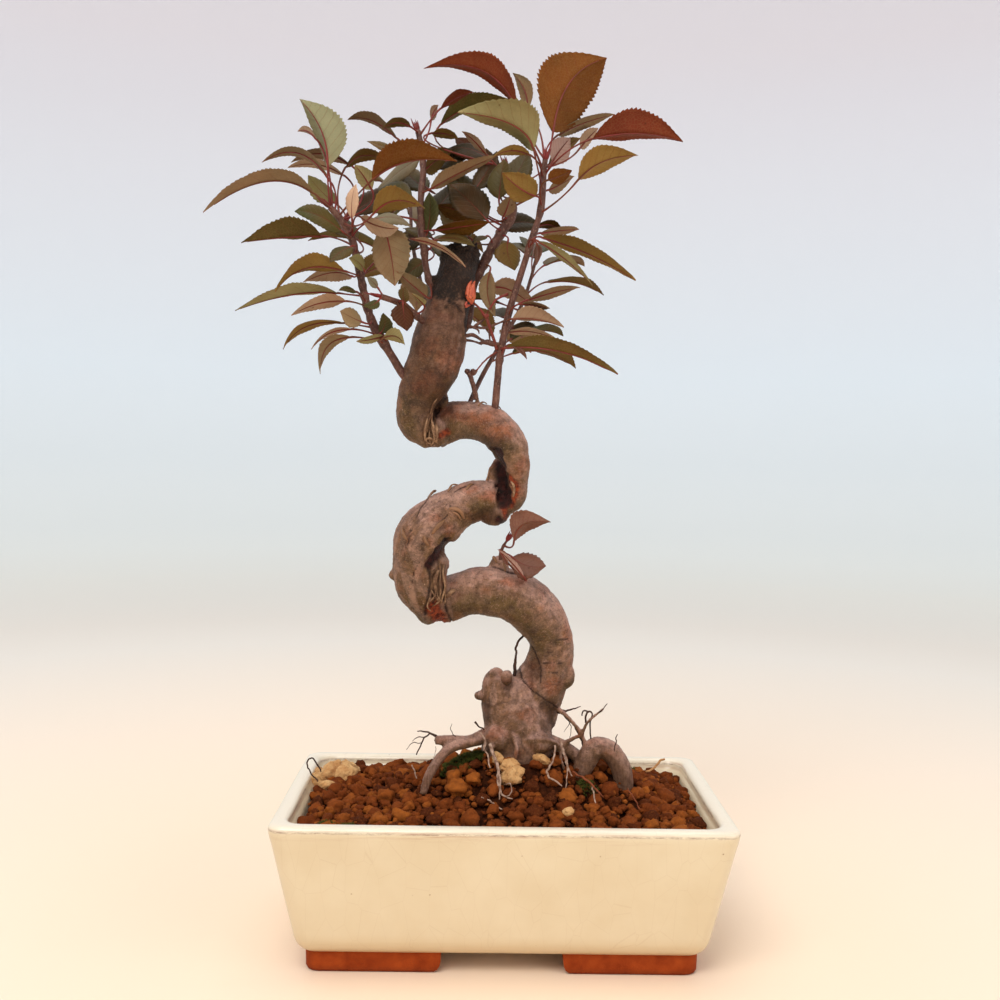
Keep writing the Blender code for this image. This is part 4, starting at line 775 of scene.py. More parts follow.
# each shoot: stem rows (x, z, y, r) as seen, and leaves. A leaf row holds the height on the stem
# where its stalk starts, then as seen in the photograph's own frame of 1000 by 1000 the blade's
# base, the middle of its midrib and its tip, the depth of base and tip, how far the blade shows
# above and below the midrib, its real half width, the side that shows (u under, o upper), a tint
SHOOTS = {
    "shoot_left": (
        ((-49, 281, -9, 2.4), (-54, 284.5, -10, 2.4), (-59, 292, -11, 2.3), (-65, 301.5, -12, 2.2),
         (-70.5, 311, -13, 2.1), (-74.5, 324, -14, 2.0), (-78, 340, -15, 1.8),
         (-81.5, 353, -16, 1.6), (-87, 362, -17, 1.5), (-92.5, 368, -18, 1.3)),
        ((364, 315, 194, 265, 181, 203, 212, -22, -30, 12, -2, 20, "uo"),
         (367.8, 328, 167, 322, 131, 300, 99, -19, -14, 24, 7, 24, "uw"),
         (365.5, 332, 184, 300, 153, 262, 162, -12, -4, 5, 4, 9, "ue"),
         (366.8, 318, 141, 308, 131, 298, 131, -6, 8, 4, 2, 5, "up"),
         (362.5, 345, 168, 362, 155, 388, 160, -6, 4, 6, 6, 12, "ud"),
         (361, 345, 176, 318, 164, 288, 167, 2, 12, 5, 4, 11, "up"),
         (359.5, 352, 166, 322, 153, 291, 162, 8, 16, 4, 6, 11, "uo"),
         (357.5, 335, 203, 321, 191, 308, 175, -6, -8, 9, 10, 12, "ol"),
         (353, 343, 232, 318, 215, 295, 211, -24, -37, 9, 9, 13, "og"),
         (355.5, 352, 219, 352, 200, 356, 184, -28, -30, 6, 6, 9, "os"),
         (351.5, 361, 217, 380, 226, 399, 228, -26, -36, 6, 10, 12, "up"),
         (349, 322, 236, 285, 237, 241, 242, -14, -24, 18, 1, 20, "ud"),
         (345, 352, 246, 340, 252, 330, 262, -24, -32, 6, 8, 10, "od"),
         (341, 364, 270, 358, 262, 349, 258, -22, -28, 8, 5, 9, "ol"),
         (334, 345, 271, 305, 268, 275, 291, -24, -36, 12, 3, 17, "uy"),
         (338, 352, 276, 332, 272, 303, 282, -6, 8, 4, 8, 12, "up"),
         (324, 338, 293, 292, 294, 235, 310, -13, -10, 10, 1, 17, "ul"),
         (318, 346, 301, 318, 303, 291, 315, -27, -38, 7, 6, 13, "up"),
         (319, 357, 292, 348, 289, 339, 290, -20, -27, 3, 3, 5, "og"),
         (312, 362, 322, 351, 317, 340, 311, -26, -31, 9, 9, 12, "op"),
         (308, 345, 323, 306, 326, 283, 349, -14, -14, 4, 4, 11, "uy"),
         (303.5, 352, 329, 328, 333, 311, 349, -24, -32, 2, 3, 7, "up"),
         (301, 352, 337, 327, 346, 320, 374, -16, -20, 7, 5, 11, "ue"),
         (300, 383, 336, 370, 339, 356, 341, -18, -26, 4, 4, 7, "ul"),
         (303, 380, 334, 385, 324, 383, 313, -16, -20, 6, 8, 9, "og"),
         (360, 373, 214, 396, 200, 425, 208, -36, -44, 14, 8, 18, "uy"),
         (363.3, 372, 180, 408, 161, 457, 161, -30, -42, 22, -1, 25, "ub"),
         (300.5, 383, 338, 396, 336, 405, 345, -20, -24, 8, 5, 9, "ul"),
         (353, 370, 221, 392, 217, 411, 226, -24, -22, 4, 7, 10, "oe"),
         (361.5, 372, 190, 364, 176, 355, 165, -22, -24, 8, 8, 10, "ul"),
         (345, 358, 240, 340, 225, 318, 214, 4, 12, 9, 9, 12, "od"),
         (330, 375, 262, 392, 246, 408, 232, 10, 18, 10, 10, 13, "od"),
         (355, 350, 214, 372, 200, 392, 186, 6, 14, 10, 10, 13, "ok"),
         )),
    "shoot_left_low": (
        ((-44, 311, -14, 1.7), (-47.5, 314, -17, 1.7), (-54, 319.5, -22, 1.5), (-60, 322, -26, 1.3),
         (-66.5, 324, -30, 1.2)),
        ((321, 403, 303, 404, 316, 407, 331, -30, -33, 10, 12, 13, "on"),
         (320.5, 405, 303, 403, 294, 405, 287, -29, -33, 5, 6, 7, "od"),
         (315, 424, 305, 420, 300, 412, 293, -26, -32, 4, 3, 6, "ul"),
         (323.5, 378, 288, 373, 282, 367, 277, -31, -33, 4, 4, 6, "oe"),
         (323.8, 379, 300, 372, 305, 364, 306, -33, -38, 4, 5, 7, "og"),
         )),
    "shoot_mid": (
        ((-38.5, 327, -8, 1.9), (-41.6, 331.5, -9, 1.9), (-44, 340, -9, 1.8), (-45, 349, -9, 1.8),
         (-46.5, 358, -8, 1.7), (-47, 372, -6, 1.6), (-46, 386, -3, 1.5), (-47, 398, 0, 1.3),
         (-49, 407, 2, 1.2)),
        ((362, 384, 226, 391, 254, 395, 286, -18, -22, 20, 18, 21, "ue"),
         (402, 398, 139, 372, 120, 348, 119, 6, 12, 7, 3, 12, "uo"),
         (406, 411, 127, 397, 122, 382, 128, -4, -8, 5, 4, 10, "ud"),
         (396, 398, 152, 385, 147, 367, 141, -4, -8, 4, 4, 8, "oo"),
         (352, 413, 239, 441, 247, 466, 267, -20, -26, 3, 3, 8, "up"),
         (354, 436, 240, 455, 238, 475, 246, -14, -18, 5, 4, 9, "od"),
         (357, 435, 230, 462, 226, 490, 222, -12, -14, 6, 8, 14, "un"),
         (333, 427, 297, 413, 285, 397, 271, -16, -22, 9, 7, 12, "ue"),
         (376, 430, 189, 460, 172, 495, 156, -10, -12, 9, 5, 14, "uo"),
         (404, 440, 109, 456, 97, 474, 92, 0, 2, 6, 3, 11, "ur"),
         (390, 420, 158, 398, 172, 374, 194, 6, 22, 6, 8, 13, "oe"),
         (385, 424, 170, 436, 160, 452, 150, 6, 16, 9, 9, 13, "ud"),
         (368, 412, 197, 392, 190, 370, 196, 2, 14, 9, 9, 13, "og"),
         (399, 431, 120, 433, 112, 438, 105, 10, 14, 4, 4, 6, "up"),
         (353, 427, 233, 430, 212, 429, 192, -9, -9, 9, 8, 11, "og"),
         (346, 432, 238, 419, 231, 403, 228, -3, 4, 4, 5, 9, "od"),
         (370, 430, 214, 444, 200, 456, 182, 18, 24, 11, 11, 14, "ok"),
         (380, 428, 190, 412, 178, 396, 160, 20, 26, 11, 11, 14, "od"),
         (360, 424, 236, 408, 240, 392, 250, 20, 26, 10, 10, 13, "ok"),
         (392, 436, 168, 452, 158, 470, 150, 18, 22, 9, 9, 12, "ok"),
         (350, 425, 262, 412, 270, 398, 284, 16, 22, 9, 9, 12, "od"),
         )),
    "shoot_crown": (
        ((-26, 307, -4, 2.8), (-22.5, 313, -2, 2.8), (-20.4, 329, 0, 2.6), (-16, 339, 2, 2.4),
         (-11, 349, 4, 2.3), (-5.6, 358, 6, 2.1), (-1, 366, 8, 1.9), (-1, 378, 10, 1.6),
         (-4, 390, 12, 1.4)),
        ((358, 487, 220, 468, 200, 450, 184, -3, 1, 17, 15, 20, "ok"),
         (386, 487, 155, 474, 140, 462, 131, 6, 2, 4, 4, 7, "up"),
         (389.5, 432, 133, 445, 133, 458, 138, 14, 18, 5, 5, 9, "uy"),
         (380, 548, 165, 562, 150, 580, 138, 14, 24, 7, 7, 11, "ud"),
         (363, 499, 199, 501, 179, 504, 159, 1, 3, 13, 12, 15, "od"),
         (366, 503, 217, 507, 207, 510, 196, 2, -4, 9, 8, 11, "uo"),
         (341, 490, 271, 487, 294, 495, 317, -4, -8, 8, 8, 11, "ue"),
         (336, 489, 288, 511, 290, 537, 310, 3, 6, 11, 9, 14, "up"),
         (350, 487, 236, 480, 238, 474, 243, -3, -12, 3, 3, 5, "od"),
         (356, 508, 241, 508, 255, 515, 270, 0, -4, 12, 13, 14, "oo"),
         (389, 440, 125, 469, 107, 511, 100, 24, 34, 12, 4, 16, "ug"),
         (370, 548, 190, 560, 184, 574, 176, 12, 18, 6, 6, 10, "uo"),
         (383, 489, 159, 466, 148, 443, 151, 15, 20, 5, 8, 12, "ok"),
         (364, 475, 218, 455, 209, 436, 205, 6, 2, 5, 10, 13, "un"),
         (360, 474, 190, 486, 173, 497, 151, 11, 13, 9, 9, 12, "ok"),
         (352, 470, 238, 455, 222, 440, 203, 16, 20, 11, 11, 14, "od"),
         (368, 500, 196, 492, 172, 486, 148, 18, 24, 13, 13, 16, "ok"),
         (362, 478, 206, 462, 186, 447, 168, 20, 26, 12, 12, 15, "od"),
         (374, 505, 190, 518, 172, 528, 150, 20, 26, 13, 12, 15, "od"),
         (356, 500, 228, 520, 222, 543, 226, 16, 22, 10, 9, 13, "ok"),
         (380, 482, 160, 470, 146, 455, 138, 24, 30, 9, 9, 12, "on"),
         (345, 462, 262, 447, 252, 430, 246, 20, 24, 8, 8, 11, "od"),
         )),
    "shoot_right": (
        ((-8, 266, -3, 2.1), (-7.5, 271, -5, 2.1), (-6.7, 282.5, -6, 2.0), (-5.5, 296, -7, 1.9),
         (-1.6, 317, -8, 1.8), (4.1, 336.5, -9, 1.8), (9.9, 356, -10, 1.7), (13.6, 370, -10, 1.6),
         (14.4, 388, -10, 1.4), (15.5, 394, -10, 0.9)),
        ((392, 553, 132, 570, 82, 607, 58, -10, -4, 31, 27, 31, "ub"),
         (388.5, 518, 110, 482, 70, 424, 68, -16, -20, 16, 6, 18, "ur"),
         (380, 534, 150, 512, 124, 458, 112, -26, -34, 26, 9, 28, "ul"),
         (386, 592, 139, 638, 133, 683, 141, -18, -22, 22, 5, 23, "ur"),
         (367, 578, 180, 603, 161, 638, 155, -24, -32, 15, 9, 19, "uy"),
         (383, 558, 135, 582, 123, 614, 114, 0, 10, 5, 6, 12, "ue"),
         (377, 552, 162, 560, 150, 570, 138, 2, 6, 11, 11, 12, "uq"),
         (390, 580, 148, 588, 138, 598, 128, 6, 14, 7, 5, 8, "up"),
         (393.5, 528, 110, 525, 90, 513, 73, 2, 6, 8, 6, 10, "ue"),
         (372, 548, 180, 559, 176, 572, 170, -18, -22, 8, 7, 10, "ub"),
         (390.5, 512, 106, 490, 106, 466, 113, 0, 2, 3, 5, 8, "ub"),
         (384.5, 530, 155, 510, 150, 491, 158, -20, -28, 5, 4, 9, "uy"),
         (370, 536, 196, 520, 188, 502, 172, -16, -22, 15, 13, 16, "uy"),
         (357.5, 535, 228, 548, 224, 563, 231, -4, 4, 5, 4, 8, "un"),
         (352.3, 541, 237, 590, 254, 636, 280, -16, -28, 10, 4, 16, "uy"),
         (349.5, 538, 241, 566, 259, 593, 285, -24, -36, 5, 3, 9, "ul"),
         (354, 540, 233, 560, 230, 579, 229, -4, 8, 4, 5, 9, "uo"),
         (350, 537, 244, 539, 254, 536, 265, -17, -20, 5, 3, 6, "om"),
         (319, 527, 300, 553, 292, 580, 287, -10, -4, 5, 5, 11, "uo"),
         (315.5, 522, 304, 537, 305, 550, 308, -18, -26, 3, 4, 7, "uo"),
         (311, 512, 319, 537, 319, 564, 327, -16, -26, 12, 2, 14, "up"),
         (298.5, 505, 348, 560, 351, 618, 374, -14, -26, 13, 1, 16, "ud"),
         (304, 508, 332, 530, 331, 556, 338, -2, 8, 4, 4, 9, "up"),
         (294, 512, 345, 520, 350, 527, 359, -14, -20, 3, 2, 4, "om"),
         )),
    "shoot_back_left": (
        ((-38, 300, 0, 2.4), (-39, 305, 8, 2.3), (-43, 318, 20, 2.1), (-47, 334, 32, 1.9),
         (-51, 352, 42, 1.7), (-52, 370, 50, 1.4)),
        ()),
    "shoot_back_right": (
        ((-22, 263, 6, 2.4), (-21, 270, 16, 2.3), (-14, 286, 26, 2.1), (-4, 304, 36, 1.9),
         (6, 324, 44, 1.7), (12, 346, 50, 1.4)),
        ()),
    "sucker": (
        ((-3.5, 186, 2, 1.6), (-3.5, 193, 0, 1.5), (-2.5, 198, -2, 1.2), (0, 202, -4, 0.9)),
        ((199, 514, 541, 524, 524, 551, 522, -13, -17, 16, 8, 17, "um"),
         (195, 512, 557, 528, 566, 546, 566, -8, -14, 13, 14, 15, "om"),
         (194, 524, 577, 512, 562, 498, 549, -14, -18, 3, 2, 5, "uq"),
         (196.5, 500, 551, 505, 558, 508, 565, -6, -13, 4, 3, 6, "um"),
         )),
}
# shoots whose leaves follow a rule: number, first height, last height, length, outward bearing
RULED = {
    "shoot_back_left": (9, 312, 369, 46, 108.0),
    "shoot_back_right": (9, 292, 345, 46, 82.0),
}
# dead twig on the bend, no leaves; it belongs to the trunk
TWIG = ((-15.5, 268, 0, 1.5), (-16.5, 272, -2, 1.3), (-19, 281, -4, 1.1), (-20.5, 286.5, -5, 1.3))


def stem_point(rows, z):
    for a, b in zip(rows, rows[1:]):
        lo, hi = min(a[1], b[1]), max(a[1], b[1])
        if lo <= z <= hi:
            t = (z - a[1]) / (b[1] - a[1]) if b[1] != a[1] else 0.0
            m = [a[k] + (b[k] - a[k]) * t for k in range(4)]
            return seen(m[0], m[1], m[2])
    m = rows[-1] if z > rows[0][1] else rows[0]
    return seen(m[0], m[1], m[2])


def ruled_leaves(name):
    """Leaves of the far side, spread round their stem by a rule."""
    number, z0, z1, length, bearing = RULED[name]
    rows = SHOOTS[name][0]
    rng = random.Random(name)
    out = []
    for i in range(number):
        t = i / (number - 1)
        start = stem_point(rows, z0 + (z1 - z0) * t)
        a = math.radians(bearing + rng.uniform(-12, 12) + (i % 5 - 2) * 30)
        d = Vector((math.cos(a), math.sin(a), 0))
        base = start + d * rng.uniform(9, 15) + Vector((0, 0, rng.uniform(3, 12)))
        ln = length * rng.uniform(0.78, 1.08) * (1.0 - 0.15 * t)
        drop_z = rng.uniform(-0.45, 0.25) + 0.3 * t
        tip = base + (d + Vector((0, 0, drop_z))).normalized() * ln
        facing = (Vector((0, 0, 1)) + d * rng.uniform(-0.1, 0.4)
                  + Vector((rng.uniform(-.3, .3), rng.uniform(-.3, .3), 0)))
        width, arch = ln * rng.uniform(0.46, 0.56), rng.uniform(3, 6)
        axis = (tip - base).normalized()
        n = (facing - axis * facing.dot(axis)).normalized()
        side = axis.cross(n)
        mid = (base + tip) / 2 + n * arch
        near, far = (side + n * 0.25).normalized(), (n * 0.25 - side).normalized()
        out.append((start, base, mid, tip, near, far, n, width * 0.5, "dgodgdogd"[i % 9]))
    return out


def at_spot(px, py, y):
    """Real point (mm) at depth y seen at a spot of the photograph's 1000 by 1000 frame."""
    d = AHEAD + RIGHT * ((px - 500.0) / LENS) + ABOVE * ((500.0 - py) / LENS)
    return EYE + d * ((y - EYE.y) / d.y)


def shoot_leaves(name):
    """Each leaf: stalk's start, base, middle, tip, its halves' directions, upper side, width."""
    rows, leaves = SHOOTS[name]
    out = []
    for zs, bx, by, mx, my, tx, ty, yb, yt, above, below, half, kind in leaves:
        base, tip = at_spot(bx, by, yb), at_spot(tx, ty, yt)
        mid = at_spot(mx, my, (yb + yt) / 2)
        start = stem_point(rows, zs)
        start += (base - start).normalized() * 0.4
        ray = (mid - EYE).normalized()
        axis = (tip - base).normalized()
        up = ray.cross(axis).normalized()
        if (up.z if abs(up.z) > 0.15 else -up.x) < 0:
            up = -up
        away = axis.cross(up)
        away = away if away.dot(ray) > 0 else -away
        half = max(half, above, abs(below))
        ca, cb = above / half, below / half
        toward = -1.0 if kind[0] == "u" else 1.0
        da = up * ca + away * (toward * math.sqrt(max(0.0, 1 - ca * ca)))
        db = -up * cb - away * (toward * math.sqrt(max(0.0, 1 - cb * cb)))
        n = up * (2.0 - ca - cb + 0.2) - ray * (toward * (ca + cb))
        n = (n - axis * n.dot(axis)).normalized()
        out.append((start, base, mid, tip, da, db, n, half * (mid - EYE).length / LENS, kind[1]))
    if name in RULED:
        out += ruled_leaves(name)
    return out


# Trunk skin

def limb_frames():
    """Centre line of every limb and root: point, cross directions, distance, radius, roughness."""
    out = []
    for k, rows in enumerate(LIMBS + ROOTS):
        pts = smooth_path(path(rows), 8)
        n = len(pts)
        u, run = None, 0.0
        for i in range(n):
            t = (pts[min(i + 1, n - 1)][0] - pts[max(i - 1, 0)][0]).normalized()
            if u is None:
                u = Vector((0, 1, 0)) if abs(t.y) < 0.8 else Vector((1, 0, 0))
            u = (u - t * u.dot(t)).normalized()
            if i:
                run += (pts[i][0] - pts[i - 1][0]).length
            rough = (1.0, 0.35, 1.0, 0.35, 0.4)[k] if k < 5 else 0.8
            out.append((pts[i][0], u.copy(), t.cross(u), t, run, pts[i][1], rough))
    return out


def skin(name, parts, voxel, smooths):
    """One closed skin over overlapping parts."""
    points, faces = [], []
    for v, f in parts:
        start = len(points)
        points += [Vector(p) for p in v]
        faces += [tuple(i + start for i in face) for face in f]
    ob = loose_object(name, points, faces)
    mod = ob.modifiers.new("skin", "REMESH")
    mod.mode = "VOXEL"
    mod.voxel_size = voxel * MM
    apply_all(ob)
    mod = ob.modifiers.new("smooth", "SMOOTH")
    mod.factor = 0.5
    mod.iterations = smooths
    apply_all(ob)
    return ob


def seen_from_eye(p):
    """Where a real point appears on the plane y = 0."""
    k = -EYE.y / (p.y - EYE.y)
    q = EYE + (p - EYE) * k
    return q.x, q.z


def line_distance(x, z, line):
    """Distance on the seen plane from a spot to a line of spots."""
    best = 1e9
    for (ax, az), (bx, bz) in zip(line, line[1:]):
        dx, dz = bx - ax, bz - az
        k = max(0.0, min(1.0, ((x - ax) * dx + (z - az) * dz) / (dx * dx + dz * dz)))
        best = min(best, math.hypot(x - ax - dx * k, z - az - dz * k))
    return best


def spot_mm(px, py):
    """Where a spot of the photograph's frame lies on the seen plane."""
    p = at_spot(px, py, 0.0)
    return p.x, p.z


def make_trunk(bark):
    parts = []
    for n, rows in enumerate(LIMBS):
        fold = limb_squash(n + 3, 0.035)
        pts = smooth_path(path(rows), 9)
        parts.append(tube(pts, 40, lambda i, a, fold=fold: fold(i / 3.0, a)))
    for row in LUMPS:
        parts.append(lump_points(*row))
    for k, rows in enumerate(ROOTS):
        slim = 0.5 if k in FRONT_ROOTS else 1.3 if k == ARCH_ROOT else 1.0
        parts.append(tube([(p, r * slim) for p, r in smooth_path(path(rows), 8)], 18))
    parts.append(tube(smooth_path(path(TWIG), 6), 12))
    voxel = 0.82
    ob = skin("trunk_wood", parts, voxel, 3)

    frames = limb_frames()
    tree = KDTree(len(frames))
    for i, fr in enumerate(frames):
        tree.insert(fr[0], i)
    tree.balance()
    marks = [(kind, wide, deep, [spot_mm(*spot) for spot in line])
             for kind, wide, deep, line in MARKS]
    patches = [(kind, *spot_mm(px, py), rx * 0.51, ry * 0.5) for kind, px, py, rx, ry in PATCHES]
    me = ob.data
    count = len(me.vertices)
    co = np.empty(count * 3)
    me.vertices.foreach_get("co", co)
    co = (co.reshape(-1, 3) - np.array(SHIFT)) / MM
    no = np.array([v.normal[:] for v in me.vertices])
    grain = np.zeros((count, 3), dtype=np.float32)
    masks = {key: np.zeros(count, dtype=np.float32)
             for key in ("wound", "crease", "torn", "hollow", "ruddy", "olive", "near_black_and_shade",
                         "shade", "film_and_highlight", "soiled", "flaky")}
    lift = np.zeros(count)
    for i in range(count):
        p = Vector(co[i])
        q, k, d = tree.find(p)
        ctr, u, v, t, run, r, rough = frames[k]
        w = p - ctr
        a, b = w.dot(u), w.dot(v)
        s = run + w.dot(t)
        grain[i] = (a, b, s)
        sx, sz = seen_from_eye(p)
        front = smooth_step(0.45, -0.1, no[i][1]) if no[i][1] > -0.1 else 1.0
        wander = noise.noise(p * 0.35) * 0.9 + noise.noise(p * 0.9) * 0.45
        sunk = 0.0
        if front > 0:
            for kind, wide, deep, line in marks:
                if abs(sx - line[0][0]) > 24 or abs(sz - line[0][1]) > 34:
                    continue
                d = line_distance(sx, sz, line) + wander * min(1.0, 0.35 * wide)
                if d < wide * 1.5:
                    m = smooth_step(wide * 1.25, wide * 0.55, d) * front
                    masks[kind][i] = max(masks[kind][i], m)
                    sunk = max(sunk, deep * m)
        for kind, mx, mz, rx, rz in patches:
            dd = math.hypot((sx - mx) / rx, (sz - mz) / rz)
            if dd < 1.6:
                far, full = (1.0, 0.8) if kind == "near_black_and_shade" else (1.25, 0.35)
                masks[kind][i] = max(masks[kind][i], smooth_step(far, full, dd + wander * 0.25))
        # broad lumps, a few ribs along the limb, plates of loose bark where it is old
        knob = noise.noise(p * 0.11 + Vector((3, 7, 1)))
        lump = noise.noise(p * 0.26 + Vector((1, 4, 9)))
        ring = noise.noise(Vector((a * 0.05, b * 0.05, s * 0.42)))
        rib = noise.noise(Vector((a * 0.30, b * 0.30, s * 0.05)))
        plate = noise.noise(Vector((a * 0.16, b * 0.16, s * 0.10)) + Vector((4, 2, 8)))
        plate = smooth_step(0.02, 0.12, plate + 0.12 * wander)
        crack = abs(noise.noise(Vector((a * 0.22, b * 0.22, s * 0.07)) + Vector((2, 6, 0))))
        crack = smooth_step(0.05, 0.0, crack + 0.02 * abs(wander))
        big = min(1.0, r / 9.0)
        masks["flaky"][i] = plate * rough
        # the cracks join the crease mask, which the bark darkens as painted shade
        masks["crease"][i] = max(masks["crease"][i], 0.4 * crack * max(0.0, rough - 0.4) / 0.6)
        lift[i] = big * (0.12 * ring + 0.22 * rib * (0.4 + rough) + 0.62 * knob + 0.30 * lump
                         + 0.30 * plate * rough * rough - 0.40 * crack * max(0.0, rough - 0.4))
        lift[i] += 0.16 * noise.noise(p * 0.9) + 0.12 * noise.noise(p * 1.7) - sunk
        if p.z > 334 and abs(p.x + 27) < 18:
            ragged = 1.5 * noise.noise(p * 0.4) + 1.1 * noise.noise(p * 0.95)
            lift[i] += smooth_step(334, 347, p.z) * ragged
        masks["ruddy"][i] = min(1.0, masks["ruddy"][i] + 0.6 * smooth_step(0.1, 0.5, knob))
        # undersides turn olive and darker: partly the bark's olive tone, partly painted shade
        under = smooth_step(0.05, -0.65, no[i][2] + 0.3 * wander)
        masks["olive"][i] = min(1.0, masks["olive"][i] * 0.8 + under * 0.8)
        # sides facing up and to the right get a pale pinkish-grey film: partly real weathered film,
        # partly painted highlight
        masks["film_and_highlight"][i] = smooth_step(-0.1, 0.75, no[i][2] * 0.85 + no[i][0] * 0.25 + 0.3 * wander)
        masks["soiled"][i] = smooth_step(101, 84, p.z + 6 * wander)
    co += no * lift[:, None]
    me.vertices.foreach_set("co", ((co * MM) + np.array(SHIFT)).ravel())
    at = me.attributes.new("grain", "FLOAT_VECTOR", "POINT")
    at.data.foreach_set("vector", grain.ravel())
    for key, values in masks.items():
        at = me.attributes.new(key, "FLOAT", "POINT")
        at.data.foreach_set("value", values)
    me.polygons.foreach_set("use_smooth", [True] * len(me.polygons))
    me.materials.clear()
    me.materials.append(bark)
    me.update()
    settle(ob, ("trunk",))
    return ob


def surface_of(ob):
    """Search tree of a piece's surface, in mm."""
    me = ob.data
    return BVHTree.FromPolygons([(v.co - SHIFT) / MM for v in me.vertices],
                                [tuple(p.vertices) for p in me.polygons])


def on_surface(tree, px, py, out, fallback_y=0.0):
    """Point on a surface at a spot of the photograph's frame, lifted out from it."""
    d = (at_spot(px, py, 0.0) - EYE).normalized()
    hit, normal, index, far = tree.ray_cast(EYE, d)
    if hit is None:
        return at_spot(px, py, fallback_y)
    return hit + normal * out


# torn wood and loose bark: strips of (x, y, lift) on the photograph's frame, width, thickness
STRIPS = (
    (((432, 412, 0.4), (430, 420, 1.0), (433, 428, 1.6), (434, 438, 1.4), (431, 445, 0.6)), 0.7, 0.5),
    (((427, 418, 0.4), (425, 427, 1.3), (424, 436, 1.2), (427, 444, 0.4)), 0.6, 0.4),
    (((436, 424, 0.3), (437, 432, 1.2), (436, 441, 0.8)), 0.8, 0.4),
    (((424, 441, 0.3), (429, 438, 1.4), (436, 442, 0.3)), 0.7, 0.4),
    (((430, 414, 0.3), (432, 404, 0.9), (437, 398, 0.4)), 0.45, 0.35),
    (((443, 565, 0.5), (442, 575, 1.2), (443, 586, 1.4), (442, 597, 0.9), (441, 604, 0.3)), 0.7, 0.5),
    (((438, 570, 0.4), (435, 576, 1.5), (434, 583, 1.0), (437, 590, 0.4)), 1.2, 0.5),
    (((431, 590, 0.4), (435, 597, 1.2), (438, 601, 1.0), (432, 606, 0.3)), 0.7, 0.4),
    (((444, 575, 0.4), (445, 590, 1.0), (444, 604, 0.5)), 0.5, 0.5),
    (((428, 603, 0.3), (434, 597, 1.1), (440, 598, 0.6)), 0.6, 0.4),
    (((446, 598, 0.3), (450, 592, 1.2), (455, 590, 0.4)), 1.3, 0.4),
    (((511, 481, 0.2), (513, 486, 1.0), (514, 492, 0.7), (513, 497, 0.2)), 0.7, 0.5),
    (((429, 430, 0.3), (428, 437, 1.5), (430, 443, 0.8)), 0.35, 0.35),
    (((434, 416, 0.3), (435, 425, 1.2), (435, 436, 1.5), (437, 442, 0.4)), 0.35, 0.3),
    (((431, 426, 0.3), (433, 434, 2.0), (438, 439, 0.8)), 0.3, 0.3),
    (((425, 433, 0.3), (427, 440, 1.6), (433, 444, 0.4)), 0.35, 0.3),
    (((440, 571, 0.4), (438, 582, 1.6), (440, 592, 1.6), (438, 602, 0.5)), 0.4, 0.4),
    (((433, 583, 0.3), (434, 592, 1.4), (431, 600, 0.4)), 0.35, 0.3),
    (((436, 586, 0.3), (438, 595, 2.0), (443, 603, 0.8)), 0.3, 0.3),
    (((430, 597, 0.3), (428, 605, 1.2), (431, 611, 0.4)), 0.4, 0.3),
    (((436, 490, 0.0), (432, 493, 1.1), (428, 499, 0.2)), 1.6, 0.35),
    (((458, 485, 0.0), (453, 487, 1.2), (448, 492, 0.1)), 1.0, 0.35),
    (((449, 509, 0.0), (455, 508, 1.0), (461, 512, 1.1), (464, 519, 0.1)), 1.1, 0.4),
    (((452, 512, 0.0), (457, 514, 0.9), (461, 520, 0.1)), 0.6, 0.4),
    (((445, 520, 0.0), (438, 526, 1.0), (432, 534, 0.1)), 1.1, 0.35),
    (((424, 536, 0.0), (425, 541, 0.9), (429, 546, 0.1)), 0.9, 0.35),
    (((474, 484, 0.0), (470, 486, 0.8), (466, 490, 0.1)), 0.8, 0.3),
    (((402, 528, 0.0), (404, 534, 0.9), (407, 540, 0.1)), 1.1, 0.35),
    (((490, 470, 0.0), (487, 480, 0.8), (489, 488, 0.1)), 0.8, 0.35),
    (((497, 563, 0.2), (495, 559, 1.4), (493, 557, 2.0)), 0.9, 0.4),
    (((503, 562, 0.2), (504, 567, 1.2), (505, 572, 0.2)), 0.8, 0.4),
    (((501, 409, 0.2), (498, 406, 0.9), (495, 405, 0.2)), 0.8, 0.3),
    (((487, 404, 0.2), (483, 402, 0.9), (478, 406, 0.2)), 0.7, 0.3),
)
PALE_STRIPS = 20


def make_strips(tree, torn, bark):
    """Split fibres in the folds and curled edges of loose bark."""
    pale, loose = Mesh(), Mesh()
    for k, (line, wide, thick) in enumerate(STRIPS):
        pts = [on_surface(tree, px, py, out) for px, py, out in line]
        full = smooth_path([(p, 1.0) for p in pts], 4)
        n = len(full)
        flat = []
        for i, (p, r) in enumerate(full):
            e = math.sin(math.pi * (i + 0.35) / (n - 0.3))
            flat.append((p, 0.12 + 0.88 * max(0.0, e) ** 0.6))
        shape = thick / wide
        v, f = tube(flat, 8)
        # flatten each ring against the wood below it
        out = []
        for i in range(n):
            c = flat[i][0]
            near = tree.find_nearest(c)
            up = near[1] if near[1] is not None else Vector((0, -1, 0))
            for q in v[i * 8:(i + 1) * 8]:
                d = q - c
                h = d.dot(up)
                out.append(c + (d - up * h) * wide + up * (h * wide * shape))
        (pale if k < PALE_STRIPS else loose).add(out, f, 0)
    pale.piece("torn_fibres", [torn], "bark")
    loose.piece("loose_bark", [bark], "bark")


